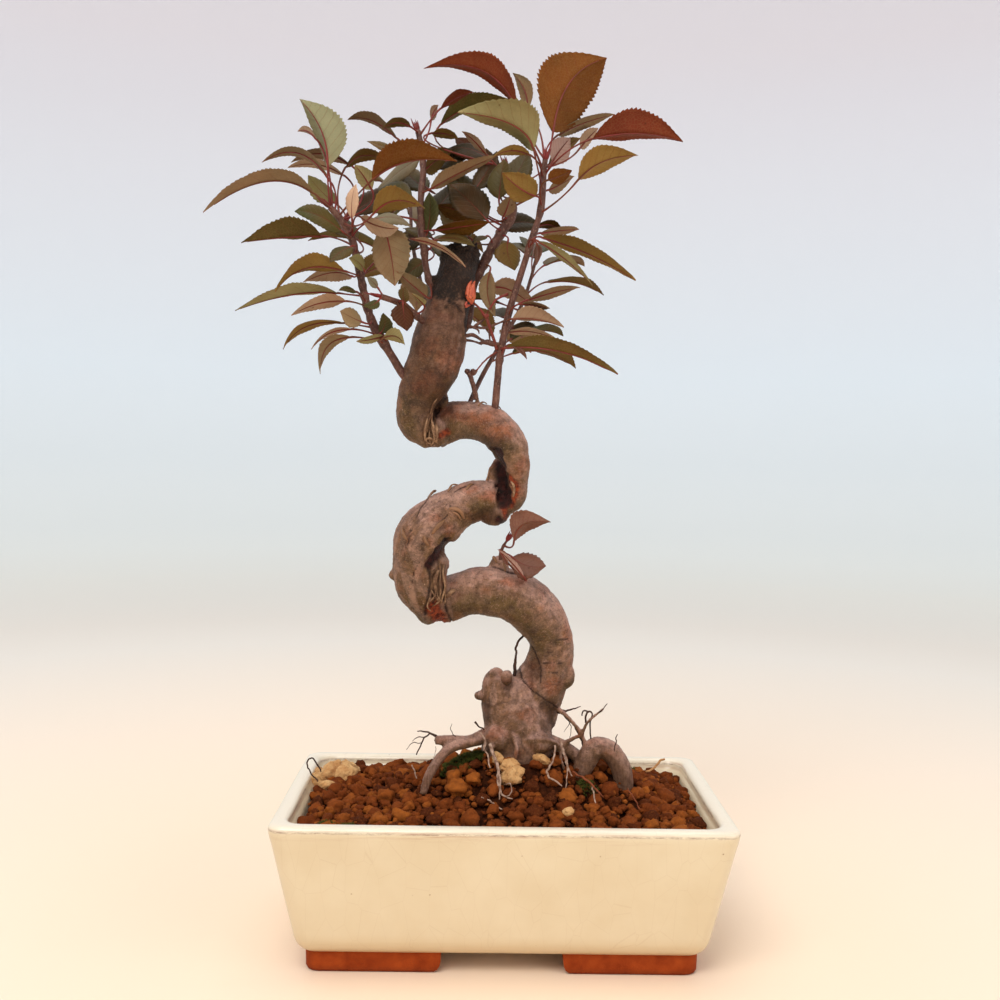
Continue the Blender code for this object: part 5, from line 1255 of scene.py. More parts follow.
# stump of dead wood on top, dead twig, dried stalks: (x, y, depth, radius) on the photograph's frame
DRIED = {
    "dead_wood": (
        ((476, 399, -2, 1.5), (474, 388, -4, 1.25), (471, 378, -5, 1.25), (469, 372, -5, 1.5)),
        ((469, 374, -5, 1.0), (467, 371, -5, 1.5), (466, 369, -5.5, 0.5)),
        ((471, 375, -5, 0.9), (473, 371, -6, 1.3), (474, 369, -6, 0.5)),
        ((472, 375, -5, 0.7), (475, 372, -6, 1.1), (477, 370, -6, 0.4)),
        ((463, 340, -6, 0.9), (472, 341, -8, 0.55), (482, 344, -8, 0.6)),
        ((480, 343, -8, 0.7), (487, 342, -8, 1.4), (493, 344, -8, 1.3), (499, 344, -8, 0.9)),
        ((465, 336, -8, 0.9), (473, 335, -8, 1.0), (480, 339, -8, 0.7), (486, 342, -8, 0.8)),
        ((466, 327, -5, 1.2), (472, 327, -7, 0.8), (478, 330, -8, 0.5), (479, 334, -8, 0.2)),
        ((474, 327, -7, 0.7), (479, 323, -8, 0.8), (484, 319, -8, 0.5)),
        ((476, 327, -7, 0.6), (484, 328, -8, 0.6), (494, 325, -8, 0.5), (504, 321, -8, 0.5)),
        ((490, 340, -8, 0.4), (489, 330, -8, 0.45), (492, 326, -8, 0.5)),
    ),
    "dried_stalk": (
        ((497, 350, -8, 0.9), (492, 334, -9, 0.75), (487, 319, -10, 0.95)),
        ((487, 319, -10, 0.9), (480, 309, -11, 0.55), (474, 303, -12, 0.6)),
        ((489, 316, -10, 0.9), (484, 315, -10, 0.9), (482, 312, -10, 0.3)),
        ((474, 374, -6, 0.35), (481, 365, -7, 0.4), (489, 357, -8, 0.45), (497, 352, -8, 0.6)),
        ((484, 318, -8, 0.3), (491, 307, -8, 0.5), (497, 299, -8, 0.55), (508, 294, -7, 0.8)),
    ),
    "husk": (
        ((472, 304, -12, 0.5), (468, 296, -13.5, 1.3), (469, 286, -13, 1.0), (472, 280, -12, 0.2)),
        ((472, 304, -12, 0.5), (473, 296, -13.5, 1.4), (473, 287, -13, 1.1), (475, 281, -12, 0.2)),
        ((470, 305, -12, 0.4), (466, 306, -13, 0.9), (467, 301, -13, 0.3)),
        ((470, 299, -14.4, 0.9), (471, 290, -14.4, 0.8), (470, 284, -13, 0.2)),
    ),
}


def make_dried(wood, stalk, husk):
    for name, mat in (("dead_wood", wood), ("dried_stalk", stalk), ("husk", husk)):
        bits = Mesh()
        for line in DRIED[name]:
            pts = smooth_path([(at_spot(px, py, y), r) for px, py, y, r in line], 5)
            v, f = tube(pts, 12)
            moved = []
            for q in v:
                q = Vector(q)
                moved.append(q + Vector((noise.noise(q * 0.9), noise.noise(q * 0.9 + Vector((9, 0, 0))),
                                         noise.noise(q * 0.9 + Vector((0, 9, 0))))) * 0.22)
            bits.add(moved, f, 0, red=[0.6] * len(moved))
        bits.piece(name, [mat], "leaf_olive" if name != "dead_wood" else "bark")


def husk_material():
    sh = Shader("orange_husk")
    t = sh.tree
    at = object_mm(t)
    color = mix_color(t, mottle(t, at, 0.3, 0.35, 0.65), rgb(158, 56, 34), rgb(200, 98, 60))
    color = mix_color(t, mottle(t, at, 0.7, 0.54, 0.66), color, rgb(78, 26, 16))
    fine = noise_value(t, at, 1.2, 4.0)
    sh.set(Base_Color=color, Roughness=0.5, Normal=bump(t, fine, 0.4, 0.0004))
    return sh.mat


def torn_wood_material():
    sh = Shader("torn_wood")
    t = sh.tree
    at = object_mm(t)
    color = mix_color(t, mottle(t, at, 0.5, 0.35, 0.65), rgb(104, 72, 50), rgb(164, 128, 96))
    color = mix_color(t, mottle(t, at, 0.22, 0.5, 0.7), color, rgb(72, 42, 26))
    fine = noise_value(t, stretched(t, at, (1.4, 1.4, 0.4)), 1.0, 5.0)
    sh.set(Base_Color=color, Roughness=0.75, Specular_IOR_Level=0.25,
           Normal=bump(t, fine, 0.6, 0.0005))
    return sh.mat


def bark_material():
    sh = Shader("apple_bark")
    t = sh.tree
    at = object_mm(t)
    g = add_node(t, "Attribute", attribute_name="grain").outputs["Vector"]

    def part(name, scale=0.2, lo=0.3, hi=0.62, most=1.0):
        """A painted mask broken up by soft noise."""
        soft = mottle(t, at, scale, lo, hi, 5.0, 0.6)
        m = math_node(t, "MULTIPLY", attribute(t, name), math_node(t, "ADD", soft, 0.35), True)
        return math_node(t, "MULTIPLY", m, most)

    broad = mottle(t, at, 0.07, 0.34, 0.66, 6.0, 0.6)
    color = mix_color(t, broad, rgb(106, 74, 48), rgb(136, 98, 70))
    # pale pinkish-grey film on up- and right-facing sides: weathered film and painted highlight
    color = mix_color(t, part("film_and_highlight", 0.16, 0.30, 0.56, 0.85), color, rgb(184, 144, 130))
    color = mix_color(t, part("ruddy", 0.13, 0.32, 0.6, 0.62), color, rgb(146, 76, 42))
    # olive patches and undersides: the bark's olive tone with painted shade
    color = mix_color(t, part("olive", 0.13, 0.3, 0.6, 0.75), color, rgb(88, 70, 32))
    # loose plates of old bark, pinkish where they have weathered
    flake = attribute(t, "flaky")
    color = tinge(t, color, flake, 0.30, rgb(184, 146, 130))
    # scurf in three sizes, pale and dark, lying across the limb
    soft = mottle(t, stretched(t, g, (0.22, 0.22, 0.34)), 1.0, 0.36, 0.68, 6.0, 0.7)
    color = mix_color(t, soft, mix_color(t, 1.0, color, (0.66, 0.64, 0.62), "MULTIPLY"),
                      mix_color(t, 1.0, color, (1.60, 1.56, 1.50), "MULTIPLY"))
    fleck = mottle(t, stretched(t, g, (0.8, 0.8, 1.7)), 1.0, 0.52, 0.66, 5.0, 0.8)
    color = tinge(t, color, fleck, 0.50, rgb(202, 160, 134))
    dark = mottle(t, stretched(t, g, (1.0, 1.0, 1.3)), 0.9, 0.52, 0.66, 5.0, 0.8)
    color = tinge(t, color, dark, 0.66, rgb(48, 28, 18))
    streak = mottle(t, stretched(t, g, (0.40, 0.40, 0.06)), 1.0, 0.52, 0.70, 4.0, 0.6)
    color = tinge(t, color, streak, 0.36, rgb(66, 40, 26))
    # small corky pores, orange and pale
    pore, chance = some_dots(t, stretched(t, g, (0.55, 0.55, 0.8)), 1.0, 0.07, 0.17,
                             1, 0.50, 0.53)
    color = mix_color(t, math_node(t, "MULTIPLY", pore, 0.75), color,
                      mix_color(t, chance[0], rgb(196, 112, 58), rgb(214, 178, 150)))
    # the crown keeps the upper limb dark, and so do the hollows of the folds
    color = mix_color(t, attribute(t, "shade"), color,
                      mix_color(t, 1.0, color, (0.50, 0.44, 0.38), "MULTIPLY"))
    # marks
    fibre = mottle(t, stretched(t, at, (0.8, 0.8, 0.18)), 1.0, 0.35, 0.65, 5.0)
    raw = mix_color(t, mottle(t, at, 0.55, 0.36, 0.62, 6.0), rgb(64, 18, 10), rgb(168, 72, 32))
    tan = mix_color(t, fibre, rgb(66, 38, 22), rgb(146, 108, 76))
    # painted shade: near-black colour in the deep hollows of the folds
    hollow_shade = mix_color(t, mottle(t, at, 0.35, 0.4, 0.66, 5.0), rgb(28, 12, 9), rgb(70, 26, 18))
    # painted shade darkens the creases and cracks
    gap = mottle(t, at, 0.5, 0.3, 0.55, 4.0)
    gap = math_node(t, "MULTIPLY", attribute(t, "crease"), math_node(t, "ADD", gap, 0.35), True)
    color = tinge(t, color, gap, 0.8, rgb(44, 26, 18))
    color = mix_color(t, attribute(t, "torn"), color, tan)
    color = mix_color(t, attribute(t, "wound"), color, raw)
    color = mix_color(t, attribute(t, "hollow"), color, hollow_shade)
    # near black at the top of the upper limb and in a narrow streak below: dark old wood, partly
    # painted shade under the crown
    blackish_tone_and_shade = mix_color(t, mottle(t, at, 0.9, 0.5, 0.66, 5.0, 0.7), rgb(26, 16, 10), rgb(78, 54, 38))
    color = tinge(t, color, attribute(t, "near_black_and_shade"), 0.96, blackish_tone_and_shade)
    color = mix_color(t, math_node(t, "MULTIPLY", attribute(t, "soiled"), 0.6), color,
                      mix_color(t, fibre, rgb(84, 50, 32), rgb(150, 112, 88)))
    fine = noise_value(t, stretched(t, g, (0.7, 0.7, 1.3)), 1.0, 7.0, 0.8)
    long = noise_value(t, stretched(t, g, (1.2, 1.2, 0.16)), 1.0, 5.0, 0.6)
    nrm = bump(t, fine, 0.95, 0.0015)
    nrm = bump(t, long, 0.4, 0.0007, nrm)
    nrm = bump(t, pore, 0.6, 0.0005, nrm)
    sh.set(Base_Color=color, Specular_IOR_Level=0.3,
           Roughness=mix_color(t, fleck, (0.50, 0.50, 0.50), (0.70, 0.70, 0.70)), Normal=nrm)
    return sh.mat


# Leaves

# upper side and underside colours of a leaf
TINTS = {
    "o": (rgb(88, 70, 28), rgb(130, 106, 78)),      # olive brown
    "b": (rgb(84, 52, 14), rgb(106, 62, 22)),      # warm brown
    "r": (rgb(98, 42, 22), rgb(118, 52, 32)),      # red brown
    "g": (rgb(66, 64, 26), rgb(84, 76, 30)),      # dark green
    "d": (rgb(76, 66, 32), rgb(100, 80, 40)),      # dark olive
    "k": (rgb(52, 40, 14), rgb(62, 48, 18)),      # nearly black olive
    "n": (rgb(59, 27, 5), rgb(79, 54, 8)),      # dark brown
    "e": (rgb(118, 108, 82), rgb(132, 110, 80)),      # grey olive
    "p": (rgb(140, 118, 84), rgb(160, 132, 106)),      # pinkish grey
    "y": (rgb(112, 90, 40), rgb(134, 104, 52)),      # yellow olive
    "l": (rgb(106, 100, 58), rgb(146, 136, 92)),      # pale green
    "s": (rgb(199, 161, 131), rgb(238, 193, 158)),      # salmon, dried
    "m": (rgb(104, 68, 54), rgb(126, 86, 72)),      # mauve brown
    "q": (rgb(153, 125, 115), rgb(190, 156, 144)),      # mauve pink
    "w": (rgb(108, 102, 70), rgb(142, 138, 104)),      # pale grey green
}
# half width of a blade from base to tip
BLADE = ((0.0, 0.0), (0.04, 0.24), (0.12, 0.57), (0.22, 0.83), (0.34, 0.97), (0.46, 1.0),
         (0.6, 0.93), (0.73, 0.75), (0.84, 0.50), (0.92, 0.26), (0.97, 0.11), (1.0, 0.0))


def blade_half(t):
    for (a, u), (b, v) in zip(BLADE, BLADE[1:]):
        if t <= b:
            k = (t - a) / (b - a)
            return u + (v - u) * k
    return 0.0


def fine_leaf(leaves, stalks, start, base, mid, tip, da, db, n, wide, tint, seed):
    """One veined, saw-edged blade and its stalk."""
    rng = random.Random(seed)
    length = (mid - base).length + (tip - mid).length
    bend = mid * 2 - (base + tip) / 2
    ph = rng.uniform(0, 6.28)
    own = rng.uniform(-1, 1)
    roll = rng.uniform(0.4, 1.0)
    teeth = max(6, int(length / 2.1))
    across = 6 if wide > 5 else 4
    gap = length / rng.uniform(6.6, 8.4)
    flop = wide * 0.05 * rng.uniform(0.6, 1.5)

    stations = [(0.0, 1.0)]
    for j in range(teeth):
        big = rng.uniform(0.6, 1.3)
        stations.append(((j + 0.08) / teeth, 1.0 - 0.035 * big))
        stations.append(((j + 0.80) / teeth, 1.0 + 0.05 * big))
    stations.append((1.0, 1.0))
    cols = 2 * across + 1
    rows = len(stations)
    grid, veins = [], []
    for t, m in stations:
        ctr = base * (1 - t) ** 2 + bend * (2 * t * (1 - t)) + tip * t * t
        row = []
        for c in range(-across, across + 1):
            c = c / across
            f = abs(c)
            edge = m if f > 0.99 else 1.0 + (m - 1.0) * max(0.0, f * 6 - 5)
            w = f * wide * blade_half(t) * edge
            d = da if c >= 0 else db
            # each half bellies a little and curls back at its edge
            lift = 0.09 * w * math.sin(math.pi * f * 0.9) - roll * 0.14 * w * f ** 4
            lift += flop * f * f * math.sin(7.5 * t + ph + (2.2 if c > 0 else 0))
            lift += 0.35 * flop * f ** 3 * math.sin(19 * t + 2 * ph + (1 if c > 0 else 0))
            q = length * t - w * 0.85 + 0.012 * w * w + (gap / 2 if c > 0 else 0)
            lift += 0.06 * math.cos(2 * math.pi * q / gap) * min(1, w / 3) * min(1.0, wide / 10)
            lift -= 0.25 * math.exp(-(w / 0.7) ** 2)
            row.append(ctr + d * w + n * lift)
            veins.append((length * t, w if c > 0 else -w, gap))
        grid.append(row)
    normals = []
    for i in range(rows):
        for c in range(cols):
            a = grid[min(i + 1, rows - 1)][c] - grid[max(i - 1, 0)][c]
            b = grid[i][min(c + 1, cols - 1)] - grid[i][max(c - 1, 0)]
            nn = a.cross(b)
            nn = nn.normalized() if nn.length > 1e-5 else n.copy()
            normals.append(nn)
    # one side throughout, whichever way the blade folds
    k = (rows // 2) * cols + across
    if normals[k].dot(n) < 0:
        normals = [-v for v in normals]
        swap = True
    else:
        swap = False
    top, low = [], []
    for k, nn in enumerate(normals):
        i, c = divmod(k, cols)
        h = LEAF_THICK * (0.25 if 0 < c < cols - 1 else 0.06)
        if i in (0, rows - 1):
            nn = n
        top.append(grid[i][c] + nn * h)
        low.append(grid[i][c] - nn * h)
    faces, mats = [], []
    count = rows * cols

    def face(mat, *ids):
        faces.append(ids if not swap else tuple(reversed(ids)))
        mats.append(mat)

    for i in range(rows - 1):
        for c in range(cols - 1):
            a, b = i * cols + c, i * cols + c + 1
            d, e = (i + 1) * cols + c + 1, (i + 1) * cols + c
            face(0, a, e, d, b)
            face(1, a + count, b + count, d + count, e + count)
        a, e = i * cols, (i + 1) * cols
        face(1, a, a + count, e + count, e)
        a, e = a + cols - 1, e + cols - 1
        face(1, a, e, e + count, a + count)
    upper, under = TINTS[tint]
    shade = 1.0 + 0.10 * own
    colors = [tuple(v * shade for v in upper)] * count + [tuple(v * shade for v in under)] * count
    leaves.add(top + low, faces, mats, vein=veins + veins, tint=colors)

    # stalk, running on under the blade as its midrib
    away = (bend - base).normalized()
    reach = (start - base).length
    bow = base - away * reach * 0.45
    line = []
    for k in range(7):
        t = k / 6.0
        p = start * (1 - t) ** 2 + bow * (2 * t * (1 - t)) + base * t * t
        line.append((p, 0.64 - 0.24 * math.sin(math.pi * min(1.0, t * 0.9))))
    for r in range(2, rows - 2, max(1, rows // 9)):
        t = stations[r][0]
        line.append((grid[r][across] - normals[r * cols + across] * 0.20, 0.40 * (1 - t) + 0.10))
    v, f = tube(smooth_path(line, 2), 7)
    red = 0.2 + 0.7 * rng.random()
    stalks.add(v, f, 0, red=[red] * len(v))


def make_shoot(name, upper, under, stalk, wood):
    rows = SHOOTS[name][0]
    blades, stalks = Mesh(), Mesh()
    for i, leaf in enumerate(shoot_leaves(name)):
        fine_leaf(blades, stalks, *leaf, len(name) * 100 + i)
    slot = next(s["material_slot"] for s in frame["record"]["subparts"] if s["node"] == name)
    blades.piece(name + "_blades", [upper, under], slot, (name,))

    # stem with swollen joints where the stalks leave it, and a pointed bud on top
    stem_pts = smooth_path(path(rows), 6)
    joints = [stem_point(rows, row[0]).z for row in SHOOTS[name][1]]
    slim = 0.55 if name in RULED or name == "sucker" else 0.92
    full = []
    for p, r in stem_pts:
        near = min([abs(p.z - z) for z in joints] or [99.0])
        full.append((p, r * slim * (1.0 + 0.34 * math.exp(-(near / 1.5) ** 2))))
    v, f = tube(full, 14)
    stalks.add([Vector(p) + Vector((noise.noise(Vector(p) * 0.8), noise.noise(Vector(p) * 0.8
               + Vector((5, 0, 0))), 0)) * 0.12 for p in v], f, 1, red=[0.3] * len(v))
    tip, r = stem_pts[-1]
    d = (stem_pts[-1][0] - stem_pts[-3][0]).normalized()
    for k in range(5):
        a = 2.4 * k
        out = Vector((math.cos(a), math.sin(a), 0)) * (0.5 + 0.25 * k)
        line = [(tip - d, 0.5), (tip + d * 1.2 + out * 0.5, 0.9), (tip + d * 3.0 + out, 0.55),
                (tip + d * (4.6 + 0.5 * k) + out * 1.4, 0.1)]
        v, f = tube(smooth_path(line, 3), 7)
        stalks.add(v, f, 0, red=[0.9] * len(v))
    stalks.piece(name + "_stems", [stalk, wood], slot, (name,))


def vein_group():
    """Masks of a leaf's midrib, side veins and net, from its vein coordinates."""
    def build(g, ins, put):
        at = add_node(g, "SeparateXYZ", {0: ins["Vein"]})
        along, cross, gap = at.outputs[0], at.outputs[1], at.outputs[2]
        w = math_node(g, "ABSOLUTE", cross)
        part = math_node(g, "DIVIDE", along, math_node(g, "MULTIPLY", gap, 7.5))
        thin = math_node(g, "SUBTRACT", 1.15, part)
        mid = math_node(g, "DIVIDE", w, math_node(g, "MULTIPLY", thin, ins["Midrib Width"]))
        put("Midrib", ramp(g, mid, (0.45, 1.0), (0.95, 0.0)))
        sign = math_node(g, "GREATER_THAN", cross, 0.0)
        bend = math_node(g, "MULTIPLY", math_node(g, "MULTIPLY", w, w), 0.012)
        q = math_node(g, "SUBTRACT", along, math_node(g, "MULTIPLY", w, 0.85))
        q = math_node(g, "ADD", q, bend)
        q = math_node(g, "DIVIDE", q, gap)
        q = math_node(g, "ADD", q, math_node(g, "MULTIPLY", sign, 0.5))
        wob = add_node(g, "TexNoise", {"Vector": ins["Vein"], "Scale": 0.25}).outputs["Fac"]
        q = math_node(g, "ADD", q, math_node(g, "MULTIPLY", wob, 0.35))
        off = math_node(g, "ABSOLUTE", math_node(g, "SUBTRACT", math_node(g, "FRACT", q), 0.5))
        off = math_node(g, "MULTIPLY", off, gap)
        put("Side Veins", ramp(g, off, (0.06, 1.0), (0.22, 0.0)))
        net = add_node(g, "TexVoronoi", {"Vector": ins["Vein"], "Scale": 0.75},
                       feature="DISTANCE_TO_EDGE").outputs["Distance"]
        put("Net", ramp(g, net, (0.02, 1.0), (0.12, 0.0)))

    return group("leaf_veins", [("Vein", "NodeSocketVector", None),
                                ("Midrib Width", "NodeSocketFloat", 0.7)],
                 [("Midrib", "NodeSocketFloat"), ("Side Veins", "NodeSocketFloat"),
                  ("Net", "NodeSocketFloat")], build)


def leaf_material(name, veins, under):
    sh = Shader(name)
    t = sh.tree
    at = object_mm(t)
    vein = add_node(t, "Attribute", attribute_name="vein").outputs["Vector"]
    color = add_node(t, "Attribute", attribute_name="tint").outputs["Vector"]
    v = use_group(t, veins, Vein=vein, Midrib_Width=0.62 if under else 0.42)
    patch = mottle(t, at, 0.09, 0.35, 0.68, 4.0)
    color = mix_color(t, math_node(t, "MULTIPLY", patch, 0.45), color,
                      mix_color(t, 1.0, color, (0.62, 0.60, 0.55), "MULTIPLY"))
    warm = mottle(t, at, 0.05, 0.42, 0.70, 2.0)
    color = tinge(t, color, warm, 0.13, rgb(150, 74, 30))
    # red midrib, thin red side veins below and paler ones above, faint net
    rib = rgb(132, 48, 34) if under else rgb(92, 34, 22)
    line = mix_color(t, 0.6, color, rgb(120, 44, 28) if under else rgb(122, 96, 50))
    color = mix_color(t, math_node(t, "MULTIPLY", v["Net"], 0.14), color,
                      mix_color(t, 0.5, color, rgb(186, 150, 100) if under else rgb(40, 30, 14)))
    color = mix_color(t, math_node(t, "MULTIPLY", v["Side Veins"], 0.42 if under else 0.22),
                      color, line)
    color = tinge(t, color, v["Midrib"], 0.75, rib)
    dot, _ = some_dots(t, at, 0.28, 0.10, 0.22, 2, 0.90, 0.92)
    color = tinge(t, color, dot, 0.6, rgb(66, 34, 20))
    height = math_node(t, "ADD", math_node(t, "MULTIPLY", v["Side Veins"], 0.7),
                       math_node(t, "MULTIPLY", v["Net"], 0.22))
    if not under:
        height = math_node(t, "MULTIPLY", height, -1.0)
    nrm = bump(t, height, 0.6, 0.0003)
    sh.set(Base_Color=color, Roughness=0.6 if under else 0.45,
           Specular_IOR_Level=0.08 if under else 0.2, Normal=nrm)
    return sh.mat


def stalk_material():
    sh = Shader("red_stalk")
    t = sh.tree
    at = object_mm(t)
    soft = mottle(t, at, 0.12, 0.35, 0.65)
    a = mix_color(t, soft, rgb(96, 66, 34), rgb(112, 48, 34))
    b = mix_color(t, soft, rgb(104, 30, 30), rgb(130, 44, 42))
    sh.set(Base_Color=mix_color(t, attribute(t, "red"), a, b), Roughness=0.45,
           Specular_IOR_Level=0.25)
    return sh.mat


def shoot_wood_material():
    sh = Shader("young_wood")
    t = sh.tree
    at = object_mm(t)
    color = mix_color(t, mottle(t, at, 0.14, 0.35, 0.65), rgb(66, 36, 28), rgb(100, 62, 48))
    scurf = mottle(t, stretched(t, at, (0.9, 0.9, 0.5)), 1.0, 0.5, 0.68, 5.0, 0.7)
    color = tinge(t, color, scurf, 0.5, rgb(150, 112, 94))
    dot = cell_dots(t, at, 0.55, 0.08, 0.2)[0]
    color = tinge(t, color, dot, 0.6, rgb(170, 130, 100))
    grit = noise_value(t, at, 1.4, 5.0)
    sh.set(Base_Color=color, Roughness=0.5, Specular_IOR_Level=0.3,
           Normal=bump(t, grit, 0.7, 0.0005))
    return sh.mat


# Soil

def mound(x, y):
    """Height of the soil's surface without its grains."""
    d = math.hypot((x - MOUND_AT[0]) / 62.0, (y - MOUND_AT[1]) / 42.0)
    z = SOIL_EDGE_Z + (MOUND_Z - SOIL_EDGE_Z) * math.exp(-1.35 * d * d)
    z += 3.0 * math.exp(-(((x + 84.0) / 26.0) ** 2 + ((y - 30.0) / 22.0) ** 2))
    z += 7.0 * math.exp(-(((x - 8.0) / 24.0) ** 2 + ((y + 3.0) / 17.0) ** 2))
    z += 6.5 * math.exp(-(((x - 52.0) / 24.0) ** 2 + ((y - 8.0) / 22.0) ** 2))
    edge = max(abs(x) / 98.0, abs(y) / 56.0)
    if edge > 0.86:
        z -= 3.0 * (edge - 0.86) / 0.14
    return z


def inside_pot(x, y, room, z=70.0):
    t = (z - BASE_Z) / (RIM_Z - BASE_Z)
    hx = BASE_HALF_X + (RIM_HALF_X - BASE_HALF_X) * t - WALL - room
    hy = BASE_HALF_Y + (RIM_HALF_Y - BASE_HALF_Y) * t - WALL - room
    dx, dy = abs(x) - (hx - CORNER_IN), abs(y) - (hy - CORNER_IN)
    if dx > 0 and dy > 0:
        return math.hypot(dx, dy) < CORNER_IN
    return abs(x) < hx and abs(y) < hy


def make_bed(mat):
    """Solid body of soil under the loose grains, down to the pot's floor."""
    nx, ny = 92, 54
    t = (66.0 - BASE_Z) / (RIM_Z - BASE_Z)
    hx = BASE_HALF_X + (RIM_HALF_X - BASE_HALF_X) * t - WALL - 0.4
    hy = BASE_HALF_Y + (RIM_HALF_Y - BASE_HALF_Y) * t - WALL - 0.4
    points, faces = [], []
    for j in range(ny + 1):
        for i in range(nx + 1):
            x = (i / nx * 2 - 1)
            y = (j / ny * 2 - 1)
            # square to rounded rectangle
            px, py = x * hx, y * hy
            dx, dy = abs(px) - (hx - CORNER_IN), abs(py) - (hy - CORNER_IN)
            if dx > 0 and dy > 0:
                k = max(dx, dy) / math.hypot(dx, dy)
                px = math.copysign(hx - CORNER_IN + dx * k, px)
                py = math.copysign(hy - CORNER_IN + dy * k, py)
            z = mound(px, py) - 3.4 + 1.6 * noise.noise(Vector((px * 0.2, py * 0.2, 0)))
            points.append((px, py, z + 0.7 * noise.noise(Vector((px * 0.6, py * 0.6, 5)))))
    row = nx + 1
    for j in range(ny):
        for i in range(nx):
            a = j * row + i
            faces.append((a, a + 1, a + row + 1, a + row))
    rim = ([i for i in range(nx)] + [j * row + nx for j in range(ny)]
           + [ny * row + nx - i for i in range(nx)] + [(ny - j) * row for j in range(ny)])
    base = len(points)
    for i in rim:
        x, y, z = points[i]
        points.append((x * 0.93, y * 0.9, FLOOR_Z + 2.2))
    n = len(rim)
    for k in range(n):
        a, b = rim[k], rim[(k + 1) % n]
        faces.append((b, a, base + k, base + (k + 1) % n))
    faces.append(tuple(base + k for k in reversed(range(n))))
    bed = Mesh()
    bed.add(points, faces)
    return bed.piece("soil_bed", [mat], "soil", ("soil",))


def grain_shapes(kinds, level, seed, rough):
    """A few lumpy stones of radius about one, as point arrays with shared faces."""
    bm = bmesh.new()
    bmesh.ops.create_icosphere(bm, subdivisions=level, radius=1.0)
    faces = [tuple(v.index for v in f.verts) for f in bm.faces]
    dirs = [v.co.copy() for v in bm.verts]
    bm.free()
    rng = random.Random(seed)
    out = []
    for _ in range(kinds):
        off = Vector([rng.uniform(-50, 50) for _ in range(3)])
        cuts = []
        for _ in range(5):
            d = Vector([rng.gauss(0, 1) for _ in range(3)]).normalized()
            cuts.append((d, rng.uniform(0.72, 0.95)))
        pts = []
        for d in dirs:
            r = 1.0 + rough * noise.noise(d * 1.3 + off) + rough * 0.5 * noise.noise(d * 3.1 + off)
            p = d * r
            for c, h in cuts:
                e = p.dot(c) - h
                if e > 0:
                    p = p - c * (e * 0.8)
            pts.append(p)
        out.append(np.array(pts))
    return out, np.array(faces)


class Heap:
    """Many small stones merged in one piece, with a random value for each."""

    def __init__(self, level, seed, rough):
        self.shapes, self.tri = grain_shapes(10, level, seed, rough)
        self.rng = random.Random(seed + 1)
        self.points, self.faces, self.values = [], [], []
        self.count = 0

    def put(self, at, radius, flat=1.0, value=None):
        rng = self.rng
        shape = self.shapes[rng.randrange(len(self.shapes))]
        turn = Matrix.Rotation(rng.uniform(0, 6.28), 3, Vector([rng.gauss(0, 1) for _ in range(3)]))
        size = np.array([radius * rng.uniform(0.85, 1.15), radius * rng.uniform(0.85, 1.15),
                         radius * rng.uniform(0.7, 1.0)])
        pts = (shape * size) @ np.array(turn)
        pts[:, 2] *= flat
        pts += np.array(at)
        self.points.append(pts)
        self.faces.append(self.tri + self.count)
        self.count += len(pts)
        self.values += [rng.random() if value is None else value] * len(pts)

    def piece(self, name, mat, slot, replaces):
        pts = np.concatenate(self.points) * MM + np.array(SHIFT)
        tri = np.concatenate(self.faces)
        me = bpy.data.meshes.new(name)
        me.vertices.add(len(pts))
        me.vertices.foreach_set("co", pts.ravel())
        me.loops.add(tri.size)
        me.loops.foreach_set("vertex_index", tri.ravel().astype(np.int32))
        me.polygons.add(len(tri))
        me.polygons.foreach_set("loop_start", np.arange(0, tri.size, 3, dtype=np.int32))
        me.polygons.foreach_set("use_smooth", [True] * len(tri))
        at = me.attributes.new("own", "FLOAT", "POINT")
        at.data.foreach_set("value", np.array(self.values, dtype=np.float32))
        me.materials.append(mat)
        me.update(calc_edges=True)
        ob = bpy.data.objects.new(name, me)
        bpy.context.scene.collection.objects.link(ob)
        return settle(ob, replaces)


